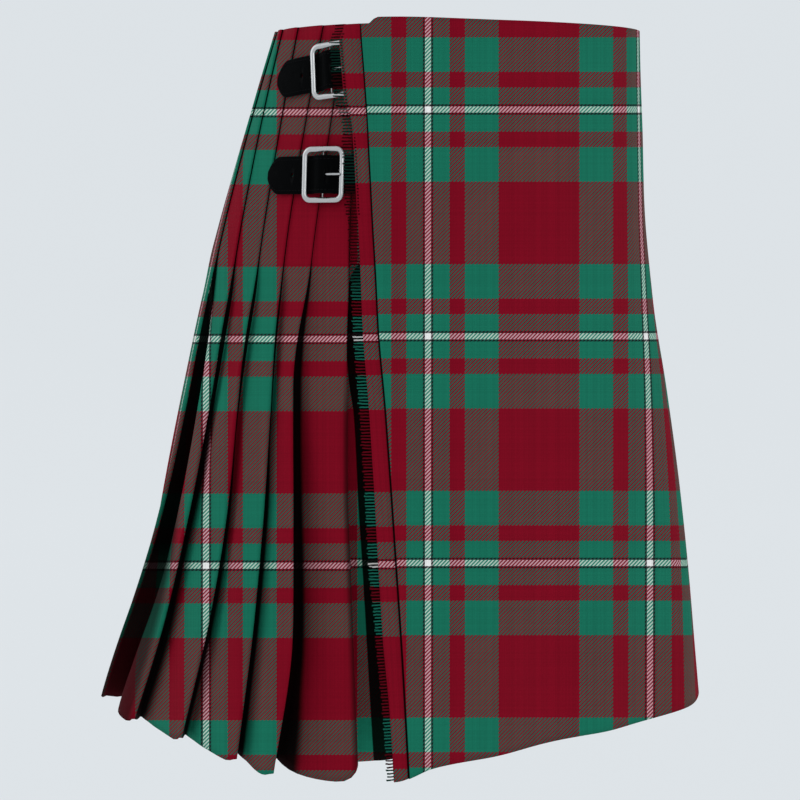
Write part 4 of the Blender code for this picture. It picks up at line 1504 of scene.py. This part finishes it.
# ---------------------------------------------------------------- straps and buckles
class Fastening:
    """A strap and its buckle at one place on the hip."""

    NEAR = 0.002

    def __init__(self, row):
        for key, value in zip(FASTENINGS[0], row):
            setattr(self, key, value)
        self.turn = math.radians(self.tilt)
        self.shear = self.lean = 0.0
        across, up = self.directions()
        self.shear = up.dot(across) / (2 * self.NEAR)
        outwards = self.flat().col[2]
        self.lean = outwards.z / math.hypot(outwards.x, outwards.y)

    def wrap(self, x, y, height):
        """Points over the pleats that follow the hip's curve."""
        y = y + self.lean * height
        x = x - self.shear * y
        along = x * math.cos(self.turn) - y * math.sin(self.turn)
        up = x * math.sin(self.turn) + y * math.cos(self.turn)
        return figure.place(
            self.side * (self.reach - along), self.drop - up, CREST_OUT + height
        )

    def directions(self):
        """Which way x and y run on the hip, the second still at its own length."""
        near = self.NEAR
        across = Vector((self.wrap(near, 0, 0) - self.wrap(-near, 0, 0))[0]).normalized()
        return across, Vector((self.wrap(0, near, 0) - self.wrap(0, -near, 0))[0])

    def flat(self):
        """The matrix that stands a flat piece on the hip."""
        across, up = self.directions()
        up = (up - across * up.dot(across)).normalized()
        outwards = across.cross(up) * self.side
        matrix = Matrix((across, up, outwards)).transposed().to_4x4()
        matrix.translation = Vector(self.wrap(0, 0, 0)[0])
        return matrix


def strap_profile(x):
    """How high the strap lies over the pleats along its length."""
    hump = np.cos(np.pi / 2 * np.minimum(1.0, np.abs(x) / HUMP_REACH)) ** 2
    return STRAP_REST + STRAP_RISE * hump


def strap_half_width(x, tip):
    """Half the strap's width along its length, narrowing to its rounded end."""
    rounded = np.minimum(1.0, (x + tip) / STRAP_TIP_ROUND)
    swell = np.sin(np.pi / 2 * rounded) ** STRAP_TIP_POWER
    return STRAP_WIDTH / 2 * (STRAP_TIP_FLAT + (1 - STRAP_TIP_FLAT) * swell)


def strap(fastening, finish, around):
    """A leather strap with rounded edges, a rounded end and punched holes."""
    tip = fastening.tip
    near_tip = -tip + STRAP_TIP_ROUND * np.linspace(0, 1, STRAP_TIP_ROWS) ** STRAP_TIP_SPREAD
    rest = np.arange(near_tip[-1] + STRAP_FIRST_STEP, fastening.hidden, STRAP_STEP)
    turn = np.linspace(0, 2 * math.pi, around, endpoint=False)
    across = np.sign(np.cos(turn)) * np.abs(np.cos(turn)) ** STRAP_EDGE_POWER
    thick = np.sign(np.sin(turn)) * np.abs(np.sin(turn)) ** STRAP_FACE_POWER
    work = bmesh.new()
    rings = []
    for x in np.concatenate([near_tip, rest]):
        half = strap_half_width(x, tip)
        height = strap_profile(x) + STRAP_THICK / 2 * (1 + thick)
        points = fastening.wrap(np.full(around, x), half * across, height)
        rings.append([work.verts.new(point) for point in points])
    bridge(work, zip(rings, rings[1:]))
    work.faces.new(rings[0][::-1])
    work.faces.new(rings[-1])
    bmesh.ops.recalc_face_normals(work, faces=work.faces)
    body = linked("strap", mesh_of(work, "strap"))
    flat = fastening.flat()
    bores = []
    for x in fastening.holes:
        ends = [fastening.wrap(-x, 0, height)[0] for height in HOLE_HEIGHTS]
        bores.append(tube(ends, HOLE_RADIUS, HOLE_SIDES))
    prong_hole = [flat @ Vector((x, 0, PRONG_HEIGHT)) for x in PRONG_HOLE]
    bores.append(tube(prong_hole, PRONG_BORE, PRONG_BORE_SIDES))
    cutter = linked("bores", joined("bores", bores))
    step = body.modifiers.new("bores", "BOOLEAN")
    step.object = cutter
    step.solver = "EXACT"
    mesh = baked_mesh(body)
    bpy.data.objects.remove(cutter)
    piece = finished(f"strap_{fastening.name}_leather", mesh, finish)
    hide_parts(f"strap_{fastening.name}")
    return piece


def strap_stitches(fastening, finish):
    """A line of stitches along each long edge of the strap, turning in towards its end."""
    guides = []
    x = np.arange(-fastening.tip + STITCH_START, fastening.hidden, STITCH_GUIDE_STEP)
    height = strap_profile(x) + STRAP_THICK + STITCH_LIFT
    for side in (-1, 1):
        half = strap_half_width(x, fastening.tip) - STITCH_INSET
        guides.append(fastening.wrap(x, side * half, height))
    tree = repeat_tree(f"stitches_{fastening.name}", build_stitches)
    values = {"Radius": STITCH_RADIUS, "Spacing": STITCH_SPACING, "Length": STITCH_LENGTH}
    return repeated(
        f"strap_{fastening.name}_stitches", guides, tree, values, finish
    )


def buckle(fastening, finish, sides, corner_steps):
    """A flattened wire frame with rounded corners and its centre bar."""
    half_x, half_y = BUCKLE_WIDTH / 2, BUCKLE_HEIGHT / 2
    path = []
    for quarter in range(4):
        x_sign = 1 if quarter in (0, 3) else -1
        y_sign = 1 if quarter in (0, 1) else -1
        for i in range(corner_steps + 1):
            angle = math.pi / 2 * (quarter + i / corner_steps)
            x = x_sign * (half_x - BUCKLE_CORNER) + BUCKLE_CORNER * math.cos(angle)
            y = y_sign * (half_y - BUCKLE_CORNER) + BUCKLE_CORNER * math.sin(angle)
            path.append((x, y, 0.0))
    rim = tube(path, BAR_RADIUS, sides, closed=True)
    rim.transform(Matrix.Diagonal((1, 1, BAR_FLATNESS, 1)))
    bar = tube([(0, -half_y, 0), (0, half_y, 0)], CENTRE_BAR_RADIUS, sides)
    mesh = joined("buckle", [rim, bar])
    mesh.transform(fastening.flat() @ Matrix.Translation((0, 0, BAR_AXIS)))
    if fastening.side < 0:
        mesh.flip_normals()
    piece = finished(f"buckle_{fastening.name}_plated", mesh, finish)
    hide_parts(f"buckle_{fastening.name}")
    return piece


def prong(fastening, finish, sides, steps):
    """A wire hooked round the centre bar, with a thinner rounded end."""
    path = []
    for i in range(steps + 1):
        angle = math.radians(PRONG_HOOK_FROM - PRONG_HOOK_TURN * i / steps)
        path.append((PRONG_RING * math.cos(angle), 0.0, BAR_AXIS + PRONG_RING * math.sin(angle)))
    top = path[-1][2]
    taper = [1.0] * len(path)
    for share, size in PRONG_TAPER[1:]:
        path.append((PRONG_REST * share, 0.0, top + (PRONG_HEIGHT - top) * share))
        taper.append(size)
    mesh = tube(path, PRONG_RADIUS, sides, taper=taper)
    mesh.transform(fastening.flat())
    if fastening.side < 0:
        mesh.flip_normals()
    piece = finished(f"prong_{fastening.name}_plated", mesh, finish)
    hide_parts(f"prong_{fastening.name}")
    return piece


# ---------------------------------------------------------------- stage
def studio(floor_drop):
    """A plain pale floor that turns up into a wall all round."""
    profile = [(0.0, 0.0), (FLOOR_FLAT / 2, 0.0), (FLOOR_FLAT, 0.0)]
    for i in range(1, FLOOR_BEND_STEPS + 1):
        turn = math.pi / 2 * i / FLOOR_BEND_STEPS
        out, up = FLOOR_BEND * math.sin(turn), FLOOR_BEND * (1 - math.cos(turn))
        profile.append((FLOOR_FLAT + out, up))
    profile.append((FLOOR_FLAT + FLOOR_BEND, WALL_TOP))
    work = bmesh.new()
    chain = [work.verts.new((x, 0.0, z - floor_drop)) for x, z in profile]
    edges = [work.edges.new(pair) for pair in zip(chain, chain[1:])]
    bmesh.ops.spin(
        work,
        geom=chain + edges,
        axis=(0, 0, 1),
        cent=(0, 0, 0),
        steps=FLOOR_SIDES,
        angle=2 * math.pi,
    )
    bmesh.ops.remove_doubles(work, verts=work.verts, dist=1e-5)
    for face in work.faces:
        face.smooth = True
    bmesh.ops.recalc_face_normals(work, faces=work.faces)
    bmesh.ops.reverse_faces(work, faces=work.faces)
    mesh = mesh_of(work, "studio")
    board = Board("studio_paper")
    soft = board.noise(board.place(), 3.0, 2.0)
    pale = board.mix(soft, STUDIO_PALE, STUDIO_PALER)
    board.set(Base_Color=board.mix(STUDIO_SHADE, (0.0, 0.0, 0.0), pale), Roughness=0.95)
    board.set(Specular_IOR_Level=0.0, Emission_Color=pale, Emission_Strength=STUDIO_GLOW)
    mesh.materials.append(board.material)
    linked("studio", mesh)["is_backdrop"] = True


def lamps():
    """Soft boxes all round, in pale air."""
    for number, (place, aim, size, power) in enumerate(LAMPS[1:]):
        data = bpy.data.lights.new(f"soft_box_{number}", "AREA")
        data.shape = "DISK"
        data.size = size
        data.energy = power
        lamp = linked(data.name, data)
        lamp.location = place
        lamp.rotation_euler = (Vector(aim) - Vector(place)).to_track_quat("-Z", "Y").to_euler()
    world = bpy.data.worlds.new("studio_air")
    world.use_nodes = True
    air = world.node_tree.nodes["Background"]
    air.inputs["Color"].default_value = (*STUDIO_PALER, 1.0)
    air.inputs["Strength"].default_value = WORLD_LIGHT
    bpy.context.scene.world = world


def camera():
    """The camera, to the right of the front and a little above."""
    data = bpy.data.cameras.new("front_right")
    data.lens = CAMERA_LENS
    data.sensor_width = CAMERA_SENSOR
    obj = linked("front_right", data)
    obj.location = VIEW_PLACE
    obj.rotation_euler = (math.radians(90 - VIEW_FALL), 0.0, math.radians(VIEW_TURN))
    bpy.context.scene.camera = obj


# ---------------------------------------------------------------- settings, operators and panel
class KiltSettings(bpy.types.PropertyGroup):
    """How finely the kilt is made."""

    cloth_rows: bpy.props.IntProperty(
        name="Cloth rows", description="Rows of points from waist to hem", default=84, min=12
    )
    panel_columns: bpy.props.IntProperty(
        name="Panel columns", description="Points across each flat panel", default=110, min=12
    )
    fold_steps: bpy.props.IntProperty(
        name="Fold steps", description="Steps round each pleat's fold edge", default=4, min=1
    )
    face_steps: bpy.props.IntProperty(
        name="Face steps", description="Points across each pleat's face", default=8, min=2
    )
    threads: bpy.props.IntProperty(
        name="Threads", description="Loose threads in each strand of the fringe", default=3, min=1
    )
    seed: bpy.props.IntProperty(
        name="Seed", description="Seed of the fringe's unevenness", default=7
    )
    wire_sides: bpy.props.IntProperty(
        name="Wire sides", description="Sides of the buckles' wire", default=20, min=6
    )
    strap_sides: bpy.props.IntProperty(
        name="Strap sides", description="Points round a strap's section", default=36, min=12
    )
    floor_drop: bpy.props.FloatProperty(
        name="Floor drop",
        description="How far below the waist the floor lies",
        default=1.06,
        unit="LENGTH",
        subtype="DISTANCE",
    )


def wool():
    """The tartan material, made once."""
    return bpy.data.materials.get("tartan") or tartan("tartan")


class KiltStep(bpy.types.Operator):
    """Makes one group of the kilt's pieces."""

    bl_idname = "kilt.step"
    bl_label = "Kilt step"
    bl_options = {"REGISTER", "UNDO"}

    def execute(self, context):
        """Makes the group with the scene's settings."""
        self.make(context.scene.kilt_settings)
        return {"FINISHED"}

    def make(self, settings):
        raise NotImplementedError


class KILT_OT_aprons(KiltStep):
    """Make the over apron, its fringe and the under apron"""

    bl_idname = "kilt.aprons"
    bl_label = "Aprons and fringe"

    def make(self, settings):
        rows, columns = settings.cloth_rows, settings.panel_columns
        front = over_apron(wool(), rows, columns)
        strip = fringe_strip(wool(), rows * 2, STRIP_COLUMNS)
        threads = fringe_threads(thread_wool("thread_wool"), settings.threads, settings.seed)
        under = under_apron(wool(), rows, columns)


class KILT_OT_pleats(KiltStep):
    """Make the pleats round the right, back and left"""

    bl_idname = "kilt.pleats"
    bl_label = "Pleats"

    def make(self, settings):
        along_face = np.linspace(0.0, 1.0, settings.face_steps + 1)[1:]
        shares = FACE_SHARE * along_face**FACE_SPREAD
        finish = wool()
        rows, steps = np.linspace(0, LENGTH, settings.cloth_rows), settings.fold_steps
        total = len(RIGHT_FOLDS) - 1 + BACK_FOLDS - 1
        right = pleats(
            "pleats_right_cloth", 0, BACK_SEAM_FOLD, finish, rows, shares, steps, "pleats_right"
        )
        left = pleats(
            "pleats_left_cloth", BACK_SEAM_FOLD, total, finish, rows, shares, steps, "pleats_left"
        )


class KILT_OT_fastenings(KiltStep):
    """Make the straps with their holes and stitches, the buckles and the prongs"""

    bl_idname = "kilt.fastenings"
    bl_label = "Straps and buckles"

    def make(self, settings):
        hide, plate, thread = leather("strap_leather"), nickel("plated"), sewing_thread("thread")
        for row in FASTENINGS[1:]:
            fastening = Fastening(row)
            strap(fastening, hide, settings.strap_sides)
            strap_stitches(fastening, thread)
            buckle(fastening, plate, settings.wire_sides, BUCKLE_CORNER_STEPS)
            prong(fastening, plate, settings.wire_sides, PRONG_HOOK_STEPS)
            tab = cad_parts[f"chape_{fastening.name}"]
            tab.data.materials.clear()
            tab.data.materials.append(hide)


class KILT_OT_stage(KiltStep):
    """Make the floor, the lights and the camera"""

    bl_idname = "kilt.stage"
    bl_label = "Stage"

    def make(self, settings):
        studio(settings.floor_drop)
        lamps()
        camera()
        bpy.context.scene.view_settings.view_transform = "Standard"


class KILT_PT_panel(bpy.types.Panel):
    """The kilt's settings and steps"""

    bl_idname = "KILT_PT_panel"
    bl_label = "Kilt"
    bl_space_type = "VIEW_3D"
    bl_region_type = "UI"
    bl_category = "Kilt"

    def draw(self, context):
        """Lists the settings, then a button for each step."""
        settings = context.scene.kilt_settings
        for key in settings.bl_rna.properties.keys():
            if key not in ("rna_type", "name"):
                self.layout.prop(settings, key)
        for step in STEPS:
            self.layout.operator(step.bl_idname)


STEPS = (KILT_OT_aprons, KILT_OT_pleats, KILT_OT_fastenings, KILT_OT_stage)
CLASSES = (KiltSettings, *STEPS, KILT_PT_panel)


def register():
    """Adds the settings, the steps and their panel."""
    for cls in CLASSES:
        bpy.utils.register_class(cls)
    bpy.types.Scene.kilt_settings = bpy.props.PointerProperty(type=KiltSettings)


def unregister():
    """Takes them away again."""
    del bpy.types.Scene.kilt_settings
    for cls in reversed(CLASSES):
        bpy.utils.unregister_class(cls)


def main():
    """Makes every piece."""
    register()
    bpy.ops.kilt.aprons()
    bpy.ops.kilt.pleats()
    bpy.ops.kilt.fastenings()
    bpy.ops.kilt.stage()
    sizes = {"cad": cad_box, "visual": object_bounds()}
    {key: [list(corner) for corner in box] for key, box in sizes.items()}


if __name__ == "__main__":
    main()
